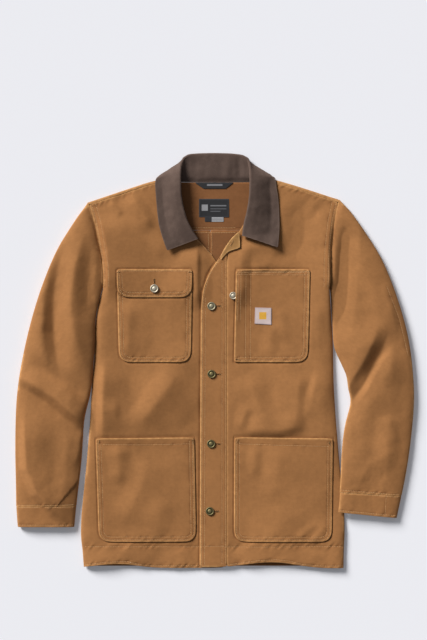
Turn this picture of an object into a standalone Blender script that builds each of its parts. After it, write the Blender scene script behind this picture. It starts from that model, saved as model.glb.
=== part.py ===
"""Chore jacket of duck canvas with a corduroy collar, laid flat on its back, buttoned, sleeves at its sides.

Tables and sizes are in millimetres. +Z is up, the collar points to +Y, and the jacket's own right side is at -X.
Each cut piece is a closed shell: a grid of points on the cloth's middle surface, moved out and in along its normals.
What lies on a panel is built from the same points, moved further out.
"""
import math
from collections import namedtuple

import bmesh
import bpy
import numpy as np
from mathutils import Matrix, Vector

MM = 0.001

# ---------------------------------------------------------------- driving sizes
CLOTH = 1.5                 # wall of one panel
BAND = 2.2                  # wall of doubled bands: placket and cuffs
COLLAR_WALL = 2.0
SEAM = 0.3                  # gap left between pieces at a seam
FLOOR_MID = CLOTH / 2       # middle of a layer that lies on the ground
EDGE_HEIGHT = 5.0           # middle of the side fold above the ground
EDGE_ROUND = 20.0           # how far in from its edge a front has risen to its full height
EDGE_TUCK = 8.0             # how far in below its edge a front is flat on the ground
FRONT_HEIGHT = 6.0          # middle of the fronts at the centre line
SIDE_LOFT = 4.5             # extra height of the fronts towards the side folds
SIDE_LOFT_REACH = 70.0
LAP_DROP = 1.6              # each front's share of the step where they lap
LAP_INNER = 35.0
LAP_OUTER = 62.0
CENTRE_BACK = -9.8          # the centre-back seam
YOKE_SEAM = 268.0
SHOULDER_ROLL = 7.0         # the yoke reaches this far past the front's shoulder seam
UNDERARM = 150.0
SIDE_INSET = 16.0           # the side seam lies this far under the side fold
PLACKET_SEAM = 24.0
POCKET_RADIUS = 20.0
CORNER_LIFT = 0.35          # a pocket's rounded corner stands this much further off the panel
BUTTON_RADIUS = 8.5
BUTTON_HEIGHT = 2.6

# ---------------------------------------------------------------- short tables
Edge = namedtuple("Edge", "y right left")
BODY_EDGE = (
    Edge(-425, -270.5, 264), Edge(-378, -274, 265), Edge(-366, -277, 266), Edge(-326, -277, 268),
    Edge(-265, -270, 261), Edge(-193, -263, 254), Edge(-121, -257, 248), Edge(-39, -254, 243.5),
    Edge(2, -249, 243.5), Edge(63, -248, 241.5), Edge(104, -245, 238), Edge(131, -237, 236.6),
    Edge(UNDERARM, -230.5, 235.2))
ARMHOLE = (
    Edge(UNDERARM, -230.5, 235.2), Edge(194, -230.5, 235.5), Edge(232, -238, 237.5),
    Edge(282, -247, 243.5), Edge(320, -258.7, 252.0), Edge(334, -262.5, 255.0))

Seam = namedtuple("Seam", "x y")
SHOULDER = (
    Seam(-262.5, 318), Seam(-191, 342), Seam(-135, 360.5), Seam(-103, 367.5),
    Seam(103, 369), Seam(130, 363.5), Seam(190, 345), Seam(255, 323.5))
BACK_NECK = 366.0
NECK_HALF = 103.0
HEM_RIGHT = (Seam(-270.5, -422.5), Seam(-225, -416.5), Seam(-179, -415.5), Seam(-152, -422.5), Seam(-132, -424.8),
             Seam(20, -424.8))
HEM_LEFT = (Seam(-32, -422.7), Seam(21, -422.7), Seam(53, -418.6), Seam(86, -413), Seam(126, -411),
            Seam(153, -414.5), Seam(178, -420.7), Seam(219, -424.8), Seam(265, -424.8))
BACK_HEM = -421.0

Neck = namedtuple("Neck", "y x")
NECK_RIGHT = (
    Neck(-430, 18), Neck(150, 18), Neck(190, 13), Neck(207, 5), Neck(226, -12), Neck(248.5, -37),
    Neck(272, -60), Neck(305, -80), Neck(338, -96), Neck(367.5, -103))
NECK_LEFT = (
    Neck(-430, 24.3), Neck(240, 24.3), Neck(250, 32), Neck(272, 54), Neck(303, 72), Neck(336, 88),
    Neck(369, 103))
PLACKET_FRONT = (
    Neck(-430, -31.5), Neck(-120, -30), Neck(106, -29), Neck(142, -26), Neck(175, -15), Neck(190, -6.6),
    Neck(206, 5.5), Neck(222, 14), Neck(237, 22.4))

# where each front's pockets begin and end across it, outer side first
Bounds = namedtuple("Bounds", "y outer inner")
RIGHT_POCKETS = (
    Bounds(-430, -236.5, -38), Bounds(-371, -238, -39), Bounds(-158, -244, -43), Bounds(-3, -197, -50),
    Bounds(187, -201, -47))
LEFT_POCKETS = (
    Bounds(-430, 239, 39), Bounds(-371, 239, 39), Bounds(-158, 241, 39.5), Bounds(-3, 190, 39),
    Bounds(187, 194, 43))

# rows of both fronts: the height of a row at the side and at the front
Row = namedtuple("Row", "outer inner")
FRONT_ROWS = (
    Row(-425, -425), Row(-403, -403), Row(-385, -385), Row(-371, -371), Row(-351, -351), Row(-312, -312),
    Row(-273, -273), Row(-234, -234), Row(-195, -195), Row(-159, -157), Row(-122, -121), Row(-82, -82),
    Row(-42, -42), Row(-3, -3), Row(17, 17), Row(55, 55), Row(93, 93), Row(130, 130), Row(150, 150),
    Row(165, 167), Row(187, 187), Row(218, 226), Row(250, 272), Row(280, 305), Row(303, 338), Row(319, 367))
HEM_ROW = 0
LOWER_POCKET_ROWS = (3, 9)
CHEST_POCKET_ROWS = (13, 18)
FLAP_ROWS = (17, 20)
OPEN_POCKET_ROWS = (13, 20)
UNDERARM_ROW = 18

# raised ridges (height > 0) and sunk troughs (height < 0) of the laid cloth
Fold = namedtuple("Fold", "x0 y0 x1 y1 width height")
BODY_FOLDS = (
    Fold(-89, -23, -185, -150, 30, 6.0), Fold(-205, -165, -200, -255, 15, 3.5),
    Fold(-150, 300, -122, 262, 20, 3.5), Fold(-232, 95, -225, -60, 16, 2.5),
    Fold(139, -9, 153, -121, 24, 4.5), Fold(51, -23, 88, -85, 20, 3.5),
    Fold(211, -19, 219, -111, 20, 3.5), Fold(110, -140, 175, -141, 16, 5.0),
    Fold(-225, -424, -195, -395, 30, 5.0), Fold(120, -424, 120, -398, 42, 8.0),
    Fold(60, 225, 78, 170, 22, 3.0), Fold(-150, -424, -150, -398, 16, -1.5),
    Fold(-262, -386, -30, -388, 9, -1.6), Fold(40, -388, 258, -388, 9, -1.6))
SLEEVE_RIGHT_FOLDS = (
    Fold(-380, 22, -287, -72, 24, 6.0), Fold(-385, -21, -273, -146, 17, -6.0),
    Fold(-293, 250, -286, 20, 20, 4.0), Fold(-262, 240, -262, 110, 14, -4.0),
    Fold(-335, 130, -352, 10, 18, -4.0), Fold(-392, -60, -392, -260, 18, 3.0),
    Fold(-330, -150, -320, -290, 24, -3.0), Fold(-302, -170, -308, -300, 16, 3.0))
SLEEVE_LEFT_FOLDS = (
    Fold(281, -52, 331, 12, 15, -8.0), Fold(283, -93, 334, -35, 11, -6.0),
    Fold(300, 10, 268, 40, 15, 4.0), Fold(312, -92, 365, -15, 16, 4.0),
    Fold(262, 255, 262, 120, 13, -5.0), Fold(300, 235, 345, 90, 20, 4.0),
    Fold(372, 60, 398, -60, 12, -3.0), Fold(330, -150, 318, -290, 22, -3.0),
    Fold(352, -120, 345, -260, 18, 3.0))

# rungs of each sleeve from the armhole to the hand: outer fold, inner fold
Rung = namedtuple("Rung", "outer_x outer_y inner_x inner_y height")
SLEEVE_RIGHT = (
    Rung(-259.7, 325.5, -230.5, 152.0, 11), Rung(-276, 305, -234.6, 143, 14), Rung(-297.7, 272, -241.6, 120.5, 16),
    Rung(-324.3, 229, -247.6, 96, 17), Rung(-346.9, 176, -250.2, 67, 18), Rung(-365.3, 124.6, -250.8, 36.5, 18),
    Rung(-382.7, 63, -252.4, 1.6, 18), Rung(-397, -2.5, -255.6, -43.5, 18), Rung(-406.3, -64, -259.2, -84.5, 18),
    Rung(-409.4, -117.3, -269, -121.4, 17), Rung(-410.4, -188, -272, -188, 15),
    Rung(-408.8, -252, -279, -250, 14), Rung(-408.4, -297.7, -284.3, -296.6, 13),
    Rung(-405.3, -340.7, -288.4, -340.7, 12))
SLEEVE_LEFT = (
    Rung(254.4, 330.5, 236.0, 152.0, 11), Rung(271, 315.3, 239.4, 143, 14), Rung(292.7, 285.6, 241.6, 124.6, 16),
    Rung(317.3, 249.7, 243.4, 102, 17), Rung(339.9, 212.8, 244.9, 79.5, 18), Rung(358.3, 171.8, 246.2, 57, 18),
    Rung(374.7, 126.7, 248, 30.3, 18), Rung(389, 79.5, 255.8, -2.5, 18), Rung(399.3, 32.4, 270.2, -31.2, 18),
    Rung(405.5, -19, 271.2, -55.8, 18), Rung(408.6, -70, 279.4, -84.5, 17), Rung(406, -120, 268, -119, 16),
    Rung(399.5, -180, 259.4, -176, 15), Rung(391, -235, 257, -231, 14), Rung(381.9, -279.2, 254.8, -273, 14.5),
    Rung(372.7, -322.3, 251.7, -310, 14))
SLEEVE_EDGE_HEIGHT = 6.0
SLEEVE_TUCK = 7.0
SLEEVE_ROWS = 24
CUFF_LENGTH = 43.0
LAP_LIFT = 7.4              # the left sleeve's inner side lies this high on the body's pressed edge
PRESSED_EDGE = 3.0
PRESSED_FRONT = 4.8

# stations of the collar from its front end to the middle of the back, in plan:
# neck seam, roll line and its height, free edge and its height, the way the fall leaves the roll (degrees),
# the turn of the roll (0 opens outwards, 180 opens to the neck) and how far the fall swells past its edge
Station = namedtuple("Station", "neck_x neck_y neck_z roll_x roll_y roll_z edge_x edge_y edge_z out turn swell")
COLLAR_RIGHT = (
    Station(-41, 249.5, 0, -35.5, 249.5, 14, -98, 226, 0, 200, 0, -14),
    Station(-62, 271.5, 0, -53, 277, 17, -107, 250, 0, 206, 0, -14),
    Station(-82, 304.5, 0, -63, 305, 20, -116, 283, 0, 202, 0, -14),
    Station(-95.5, 337.5, 0, -69.5, 338, 22, -120, 322, 0, 197, 0, -14),
    Station(-101, 358, 0, -70.5, 366, 22, -122.5, 354, 0, 190, 6, -12),
    Station(-99, 365, 7.5, -70.5, 382, 20, -121.5, 372.5, 6.5, 172, 26, -2),
    Station(-92, 367.5, 2.5, -70.5, 391, 17, -107, 382, 1.2, 155, 50, 8),
    Station(-75, 367.5, 1.2, -68.5, 406, 12.5, -80, 379, 1, 132, 95, 26),
    Station(-55, 367.2, 1, -59, 421, 6.5, -56, 378, 1, 105, 150, 24),
    Station(-28, 367, 1, -30, 424.8, 3.3, -28, 377.5, 1, 92, 180, 20))
COLLAR_LEFT = (
    Station(61, 256.5, 0, 56, 256, 14, 128, 232, 0, -18, 0, -14),
    Station(66, 275, 0, 58.5, 278, 17, 131, 260, 0, -16, 0, -14),
    Station(79, 304.5, 0, 65, 304, 20, 131.5, 292, 0, -12, 0, -14),
    Station(92, 337, 0, 70, 335, 22, 129.5, 330, 0, -6, 0, -14),
    Station(101, 358, 0, 71, 362, 22, 125, 359, 0, -2, 6, -12),
    Station(99, 365.5, 7.5, 71, 378, 20, 122.5, 374.5, 6.5, 8, 26, -2),
    Station(92, 367.8, 2.5, 71, 390, 17, 106, 381.5, 1.2, 27, 55, 12),
    Station(75, 367.5, 1.2, 70, 405, 12.5, 81, 379.5, 1, 50, 95, 26),
    Station(55, 367.2, 1, 61.5, 419.5, 6.5, 56, 378, 1, 75, 150, 24),
    Station(28, 367, 1, 27, 424.8, 3.3, 28, 377.5, 1, 88, 180, 20))
ROLL_RADIUS = 2.2
COLLAR_STEPS = 30
FALL_BELLY = 5.0            # how much the fall arches over the stand at the sides
LEAF_CLEAR = 2.6            # the fall's middle is never nearer than this to the front's middle
NECK_CLEAR = 2.3            # the stand's lower edge over the middle of the front's neck edge
STAND_STEPS = 3
ROLL_STEPS = 4
FALL_STEPS = 6

Finish = namedtuple("Finish", "colour roughness metallic")
DUCK = Finish((0.36, 0.17, 0.065), 0.85, 0.0)
DUCK_DARK = Finish((0.25, 0.115, 0.045), 0.88, 0.0)
DUCK_LIGHT = Finish((0.45, 0.27, 0.11), 0.85, 0.0)
CORDUROY = Finish((0.075, 0.047, 0.037), 0.95, 0.0)
LABEL_BLACK = Finish((0.012, 0.012, 0.014), 0.7, 0.0)
LABEL_GREY = Finish((0.2, 0.2, 0.21), 0.7, 0.0)
PATCH_PALE = Finish((0.55, 0.47, 0.46), 0.8, 0.0)
BUTTON_METAL = Finish((0.32, 0.29, 0.2), 0.38, 1.0)


# ---------------------------------------------------------------- small helpers
def smooth(value):
    """Ease from 0 to 1 as value goes from 0 to 1."""
    t = min(max(value, 0.0), 1.0)
    return t * t * (3 - 2 * t)


def read(rows, key, value, at):
    """Value of one named column of a table at a place along another."""
    return float(np.interp(at, [getattr(row, key) for row in rows], [getattr(row, value) for row in rows]))


def spline(rows, t):
    """A row of a table at t from 0 to 1, on a smooth curve through the rows."""
    place = t * (len(rows) - 1)
    index = min(int(place), len(rows) - 2)
    u = place - index
    points = [np.array(rows[min(max(index + step, 0), len(rows) - 1)], dtype=float) for step in (-1, 0, 1, 2)]
    slope_0 = (points[2] - points[0]) / 2
    slope_1 = (points[3] - points[1]) / 2
    mixed = ((2 * u**3 - 3 * u**2 + 1) * points[1] + (u**3 - 2 * u**2 + u) * slope_0
             + (3 * u**2 - 2 * u**3) * points[2] + (u**3 - u**2) * slope_1)
    return type(rows[0])(*mixed)


def side_name(x):
    return "right" if x < 0 else "left"


def fold_height(folds, x, y):
    """Sum of the folds at a place: a bell across each fold, fading past its two ends."""
    total = 0.0
    for fold in folds:
        run = math.hypot(fold.x1 - fold.x0, fold.y1 - fold.y0)
        along = ((x - fold.x0) * (fold.x1 - fold.x0) + (y - fold.y0) * (fold.y1 - fold.y0)) / run
        across = ((x - fold.x0) * (fold.y1 - fold.y0) - (y - fold.y0) * (fold.x1 - fold.x0)) / run
        beyond = max(-along, along - run, 0.0)
        total += fold.height * math.exp(-(across / fold.width)**2 - (beyond / (1.5 * fold.width))**2)
    return total


def shoulder_outline(x):
    return read(SHOULDER, "x", "y", x) + SHOULDER_ROLL


def pressed(x, y):
    """1 where the left sleeve's end presses on the body's left edge, fading to 0 around it."""
    if x < 0:
        return 0.0
    return smooth((y + 345) / 25) * smooth((-185 - y) / 35) * smooth((x - 205) / 35)


def edge_height(x, y):
    return EDGE_HEIGHT + (PRESSED_EDGE - EDGE_HEIGHT) * pressed(x, y)


def rise(distance, reach):
    """Quarter ellipse: 0 at an edge, 1 from reach inwards."""
    inward = min(max(distance, 0.0) / reach, 1.0)
    return math.sqrt(1 - (1 - inward)**2)


def armhole_line(side, y):
    """The armhole between the rows of the fronts, which every piece that ends there follows."""
    levels = [row.outer for row in FRONT_ROWS if row.outer >= UNDERARM] + [334]
    return float(np.interp(y, levels, [read(ARMHOLE, "y", side, level) for level in levels]))


def front_height(x, y, lap=0.0):
    """Height of the middle of a front, on the upper side; lap is -1 for the lower front and 1 for the upper."""
    side = side_name(x)
    if y < UNDERARM:
        from_side = abs(read(BODY_EDGE, "y", side, y)) - abs(x) - CLOTH / 2
    else:
        from_side = math.hypot(read(ARMHOLE, "y", side, UNDERARM) - x, y - UNDERARM)
    from_shoulder = 0.95 * (shoulder_outline(x) - y)
    plateau = FRONT_HEIGHT + SIDE_LOFT * math.exp(-(from_side / SIDE_LOFT_REACH)**2)
    plateau += max(fold_height(BODY_FOLDS, x, y), -1.8)
    plateau += (PRESSED_FRONT - plateau) * pressed(x, y)
    plateau += lap * LAP_DROP * smooth((LAP_OUTER - abs(x)) / (LAP_OUTER - LAP_INNER))
    low = edge_height(x, y)
    return low + (plateau - low) * rise(min(from_side, from_shoulder), EDGE_ROUND)


# ---------------------------------------------------------------- meshes
def give_material(piece, finish):
    material = bpy.data.materials.new(piece.name + "_material")
    material.use_nodes = True
    shader = material.node_tree.nodes["Principled BSDF"]
    shader.inputs["Base Color"].default_value = (*finish.colour, 1)
    shader.inputs["Roughness"].default_value = finish.roughness
    shader.inputs["Metallic"].default_value = finish.metallic
    material.diffuse_color = (*finish.colour, 1)
    piece.data.materials.append(material)


def shell(name, lower, upper, cells, finish):
    """A closed wall between two sheets of points that share the same cells (counter-clockwise from above)."""
    count = len(lower)
    triangles = []
    for cell in cells:
        triangles += [(cell[0], cell[k], cell[k + 1]) for k in range(1, len(cell) - 1)]
    edges = {(tri[k], tri[(k + 1) % 3]) for tri in triangles for k in range(3)}
    rim = sorted(edge for edge in edges if (edge[1], edge[0]) not in edges)
    faces = [tuple(corner + count for corner in tri) for tri in triangles]
    faces += [(tri[2], tri[1], tri[0]) for tri in triangles]
    for a, b in rim:
        faces += [(a, b, b + count), (a, b + count, a + count)]
    points = [tuple(MM * float(value) for value in point) for point in list(lower) + list(upper)]
    mesh = bpy.data.meshes.new(name)
    mesh.from_pydata(points, [], faces)
    tidy = bmesh.new()
    tidy.from_mesh(mesh)
    loose = [vertex for vertex in tidy.verts if not vertex.link_faces]
    bmesh.ops.delete(tidy, geom=loose, context="VERTS")
    tidy.to_mesh(mesh)
    tidy.free()
    mesh.shade_smooth()
    mesh.set_sharp_from_angle(angle=math.radians(50))
    piece = bpy.data.objects.new(name, mesh)
    bpy.context.scene.collection.objects.link(piece)
    give_material(piece, finish)
    return piece


class Panel:
    """The middle surface of one cut piece as a grid: rows along +Y, columns from the outer side to the inner."""

    def __init__(self, points, mirrored, first_column=None):
        self.points = np.array(points, dtype=float)
        self.rows, self.columns = self.points.shape[:2]
        self.mirrored = mirrored
        self.first_column = first_column or [0] * self.rows
        along_row = np.gradient(self.points, axis=1)
        along_column = np.gradient(self.points, axis=0)
        normals = np.cross(along_row, along_column)
        if mirrored:
            normals = -normals
        lengths = np.linalg.norm(normals, axis=2, keepdims=True)
        self.normals = normals / np.maximum(lengths, 1e-9)

    def square_edge(self, places):
        """Stands the rim upright along a line of grid places, so that it keeps its gap to the next piece."""
        line = np.array([self.points[place] for place in places])
        for place, along in zip(places, np.gradient(line, axis=0)):
            across = np.array([along[1], -along[0], 0.0])
            across /= max(np.linalg.norm(across), 1e-9)
            upright = self.normals[place] - np.dot(self.normals[place], across) * across
            if np.linalg.norm(upright) > 0.2:
                self.normals[place] = upright / np.linalg.norm(upright)

    def index(self, row, column):
        return row * self.columns + column

    def cell(self, row, column):
        corners = [self.index(row, column), self.index(row, column + 1), self.index(row + 1, column + 1),
                   self.index(row + 1, column)]
        return corners[::-1] if self.mirrored else corners

    def piece(self, name, low, high, finish, row_range=None, column_range=None, rounded=(), extra=None,
              inside_out=False):
        """One solid from a block of the grid. low and high are offsets from the middle surface, rounded names
        the corners to round as (row, column) of the block's corner vertices, and extra adds to both offsets."""
        first_row, last_row = row_range or (0, self.rows - 1)
        first_column, last_column = column_range or (0, self.columns - 1)
        points = self.points.reshape(-1, 3).copy()
        normals = self.normals.reshape(-1, 3).copy()
        lift = np.zeros(len(points))
        if extra:
            for row in range(first_row, last_row + 1):
                for column in range(first_column, last_column + 1):
                    lift[self.index(row, column)] = extra(row, column)
        cells = []
        for row in range(first_row, last_row):
            for column in range(max(first_column, self.first_column[row]), last_column):
                corners = {(r, c) for r in (row, row + 1) for c in (column, column + 1)}
                cut = corners & set(rounded)
                if not cut:
                    cells.append(self.cell(row, column))
                    continue
                outer = cut.pop()
                inner = (2 * row + 1 - outer[0], 2 * column + 1 - outer[1])
                ends = ((outer[0], inner[1]), (inner[0], outer[1]))
                ring = [self.index(*ends[0])]
                for angle in (30, 60):
                    across = 1 - math.sin(math.radians(angle))
                    up = 1 - math.cos(math.radians(angle))
                    weights = {outer: (1 - across) * (1 - up), ends[0]: across * (1 - up),
                               ends[1]: (1 - across) * up, inner: across * up}
                    ids = {corner: self.index(*corner) for corner in weights}
                    new_point = sum(points[ids[corner]] * weight for corner, weight in weights.items())
                    new_normal = sum(normals[ids[corner]] * weight for corner, weight in weights.items())
                    new_lift = CORNER_LIFT + sum(lift[ids[corner]] * weight for corner, weight in weights.items())
                    ring.append(len(points))
                    points = np.vstack([points, new_point])
                    normals = np.vstack([normals, new_normal / np.linalg.norm(new_normal)])
                    lift = np.append(lift, new_lift)
                ring.append(self.index(*ends[1]))
                fan = [self.index(*inner)] + ring
                a, b, c = (points[fan[k]] for k in (0, 1, 2))
                if np.dot(np.cross(b - a, c - a), normals[fan[0]]) < 0:
                    fan = [fan[0]] + fan[:0:-1]
                cells.append(fan)
        if inside_out:
            cells = [cell[::-1] for cell in cells]
        lower = points + normals * (low + lift)[:, None]
        upper = points + normals * (high + lift)[:, None]
        return shell(name, lower, upper, cells, finish)

    def spot(self, x, y):
        """Point and normal of the faceted middle surface above a place in plan."""
        points = self.points.reshape(-1, 3)
        normals = self.normals.reshape(-1, 3)
        best = None
        for row in range(self.rows - 1):
            for column in range(self.first_column[row], self.columns - 1):
                corners = self.cell(row, column)
                for tri in ((corners[0], corners[1], corners[2]), (corners[0], corners[2], corners[3])):
                    a, b, c = (points[k] for k in tri)
                    area = (b[0] - a[0]) * (c[1] - a[1]) - (c[0] - a[0]) * (b[1] - a[1])
                    if abs(area) < 1e-6:
                        continue
                    s = ((x - a[0]) * (c[1] - a[1]) - (c[0] - a[0]) * (y - a[1])) / area
                    t = ((b[0] - a[0]) * (y - a[1]) - (x - a[0]) * (b[1] - a[1])) / area
                    if min(s, t, 1 - s - t) < -1e-6:
                        continue
                    point = a + s * (b - a) + t * (c - a)
                    if best is None or point[2] > best[0][2]:
                        normal = (1 - s - t) * normals[tri[0]] + s * normals[tri[1]] + t * normals[tri[2]]
                        best = (point, normal / np.linalg.norm(normal))
        return best


# ---------------------------------------------------------------- fronts
WRAP_COLUMNS = 3
SIDE_SHARES = (0.0, 0.12, 0.45)
POCKET_CELLS = 6


def side_inset(y):
    return SIDE_INSET + (5 - SIDE_INSET) * smooth((y - 100) / 50)


def hem_height(x, lap):
    return read(HEM_RIGHT if lap < 0 else HEM_LEFT, "x", "y", x)


def front_points(pockets, neck, lap):
    """Grid of one front: from its side seam on the ground, round the side fold and over to its inner edge."""
    sign = -1 if lap < 0 else 1
    side = side_name(sign)
    points = []
    for number, row in enumerate(FRONT_ROWS):
        wrapped = number <= UNDERARM_ROW
        outline = read(BODY_EDGE if wrapped else ARMHOLE, "y", side, row.outer) - (sign * CLOTH / 2 if wrapped else 0)
        inner = read(neck, "y", "x", row.inner)
        top = min(row.outer, 187)
        pocket_outer = read(pockets, "y", "outer", top)
        pocket_inner = read(pockets, "y", "inner", top)
        if row.outer > 187:
            level = FRONT_ROWS[FLAP_ROWS[1]]
            armhole = read(ARMHOLE, "y", side, level.outer)
            edge = read(neck, "y", "x", level.inner)
            pocket_outer = outline + (pocket_outer - armhole) / (edge - armhole) * (inner - outline)
            pocket_inner = outline + (pocket_inner - armhole) / (edge - armhole) * (inner - outline)
        places = [outline + share * (pocket_outer - outline) for share in SIDE_SHARES]
        shift = math.copysign(POCKET_RADIUS, pocket_inner - pocket_outer)
        places += [pocket_outer]
        places += list(np.linspace(pocket_outer + shift, pocket_inner - shift, POCKET_CELLS - 1))
        places += [pocket_inner]
        if lap < 0:
            places += [pocket_inner + 0.4 * (inner - pocket_inner), inner]
        else:
            places += [inner]
        line = []
        low = edge_height(outline, row.outer)
        tuck = min(EDGE_TUCK, side_inset(row.outer))
        wrap = ((side_inset(row.outer), FLOOR_MID), (tuck, FLOOR_MID),
                (tuck * (1 - math.sqrt(0.5)), low - (low - FLOOR_MID) * math.sqrt(0.5)))
        for inset, height in wrap:
            x = outline - sign * inset if wrapped else outline
            line.append([x, row.outer, height])
        for x in places:
            share = (x - outline) / (inner - outline)
            y = row.outer + share * (row.inner - row.outer)
            if number == HEM_ROW:
                y = hem_height(x, lap)
            if number == len(FRONT_ROWS) - 1:
                y = read(SHOULDER, "x", "y", x)
            line.append([x, y, front_height(x, y, lap)])
        if number == HEM_ROW:
            for column in range(WRAP_COLUMNS):
                line[column][1] = line[WRAP_COLUMNS][1]
        points.append(line)
    return points


def front_panel(pockets, neck, lap):
    points = front_points(pockets, neck, lap)
    first = [0 if number < UNDERARM_ROW else WRAP_COLUMNS for number in range(len(FRONT_ROWS))]
    panel = Panel(points, mirrored=lap > 0, first_column=first)
    last = len(FRONT_ROWS) - 1
    panel.square_edge([(row, panel.columns - 1) for row in range(len(FRONT_ROWS))])
    panel.square_edge([(last, column) for column in range(WRAP_COLUMNS, panel.columns)])
    panel.square_edge([(row, WRAP_COLUMNS) for row in range(UNDERARM_ROW + 1, last + 1)])
    return panel


def block_corners(rows, columns):
    """The two lower corners of a patch pocket."""
    return ((rows[0], columns[0]), (rows[0], columns[1]))


LAYER = CLOTH / 2 + 0.4     # offset where the next layer begins
POCKET_COLUMNS = (WRAP_COLUMNS + 3, WRAP_COLUMNS + 3 + POCKET_CELLS)


def mouth(top_row, height, middle, spread):
    """A pocket mouth that stands off the panel around the middle of its top edge."""
    def lift(row, column):
        down = top_row - row
        share = (column - POCKET_COLUMNS[0]) / POCKET_CELLS
        return height * max(0, 1 - down / 1.6) * math.exp(-((share - middle) / spread)**2)
    return lift


def build_fronts():
    right = front_panel(RIGHT_POCKETS, NECK_RIGHT, -1)
    left = front_panel(LEFT_POCKETS, NECK_LEFT, 1)
    right.piece("front_right", -CLOTH / 2, CLOTH / 2, DUCK)
    left.piece("front_left", -CLOTH / 2, CLOTH / 2, DUCK)
    for side, panel, middle in (("right", right, 0.3), ("left", left, 0.4)):
        panel.piece("lower_pocket_" + side, LAYER, LAYER + CLOTH, DUCK, LOWER_POCKET_ROWS, POCKET_COLUMNS,
                    block_corners(LOWER_POCKET_ROWS, POCKET_COLUMNS),
                    mouth(LOWER_POCKET_ROWS[1], 2.2, middle, 0.28))
    right.piece("chest_pocket_right", LAYER, LAYER + CLOTH, DUCK, CHEST_POCKET_ROWS, POCKET_COLUMNS,
                block_corners(CHEST_POCKET_ROWS, POCKET_COLUMNS))

    def flap_lift(row, column):
        return (CLOTH + 0.4) * smooth((FLAP_ROWS[1] - row) / 2)
    right.piece("chest_flap", LAYER, LAYER + CLOTH, DUCK, FLAP_ROWS, POCKET_COLUMNS,
                block_corners(FLAP_ROWS, POCKET_COLUMNS), flap_lift)

    def open_side(row, column):
        near = math.exp(-((row - 17) / 1.6)**2)
        return 5.2 * near if column == POCKET_COLUMNS[1] else (1.2 * near if column == POCKET_COLUMNS[1] - 1 else 0)
    left.piece("chest_pocket_left", LAYER, LAYER + CLOTH, DUCK, OPEN_POCKET_ROWS, POCKET_COLUMNS,
               ((OPEN_POCKET_ROWS[0], POCKET_COLUMNS[0]),), open_side)
    return right, left


PLACKET_SHARES = (0.0, 0.2, 0.6, 1.0)


def build_placket():
    """The doubled strip on the left front's edge, over the right front, cut off at the neck."""
    points = []
    heights = [row.inner for row in FRONT_ROWS[:FLAP_ROWS[1] + 1]] + [206, 222, 237]
    for number, y in enumerate(heights):
        x0 = read(PLACKET_FRONT, "y", "x", y)
        line = []
        for share in PLACKET_SHARES:
            x = x0 + share * (PLACKET_SEAM - x0)
            here = hem_height(x, 1) if number == HEM_ROW else y
            line.append([x, here, front_height(x, here, 1)])
        points.append(line)
    strip = Panel(points, mirrored=False)
    strip.square_edge([(row, strip.columns - 1) for row in range(strip.rows)])
    strip.piece("placket", -BAND / 2, BAND / 2, DUCK)
    return strip


def build_facing_corner():
    """The turned corner of the left front's facing, beside the neck."""
    roll = ((10, 213), (29, 246.5), (49, 266))
    free = ((12, 207), (27, 224), (52, 231))
    points = []
    for share in np.linspace(0, 1, 5):
        start = [np.interp(share, (0, 0.5, 1), [point[axis] for point in roll]) for axis in (0, 1)]
        end = [np.interp(share, (0, 0.5, 1), [point[axis] for point in free]) for axis in (0, 1)]
        line = []
        for across in (0.0, 0.5, 1.0):
            x = start[0] + across * (end[0] - start[0])
            y = start[1] + across * (end[1] - start[1])
            height = front_height(x, y, 1) + 2.6 + 2.0 * share * (1 - across)
            line.append([x, y, height])
        points.append(line)
    corner = Panel(points, mirrored=True)
    corner.piece("facing_corner", -CLOTH / 2, CLOTH / 2, DUCK_LIGHT)


# ---------------------------------------------------------------- back
def build_back():
    """Two flat panels on the ground between the centre-back seam and the side seams."""
    rows = [row.outer for row in FRONT_ROWS if row.outer < YOKE_SEAM - 10] + [YOKE_SEAM - SEAM]
    for sign, name in ((-1, "back_right"), (1, "back_left")):
        side = side_name(sign)
        points = []
        for y in rows:
            if y <= UNDERARM:
                outer = read(BODY_EDGE, "y", side, y) - sign * (CLOTH / 2 + side_inset(y) + SEAM)
            else:
                outer = armhole_line(side, y)
            inner = CENTRE_BACK + sign * SEAM / 2
            here = max(y, BACK_HEM)
            points.append([[x, here, FLOOR_MID] for x in np.linspace(outer, inner, 5)])
        Panel(points, mirrored=sign > 0).piece(name, -CLOTH / 2, CLOTH / 2, DUCK_DARK)


YOKE_FLAT_ROWS = 3
YOKE_COLUMNS = (-222, -191, -162, -135, -NECK_HALF, -62, -20, 20, 62, NECK_HALF, 130, 160, 190, 222)


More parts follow.
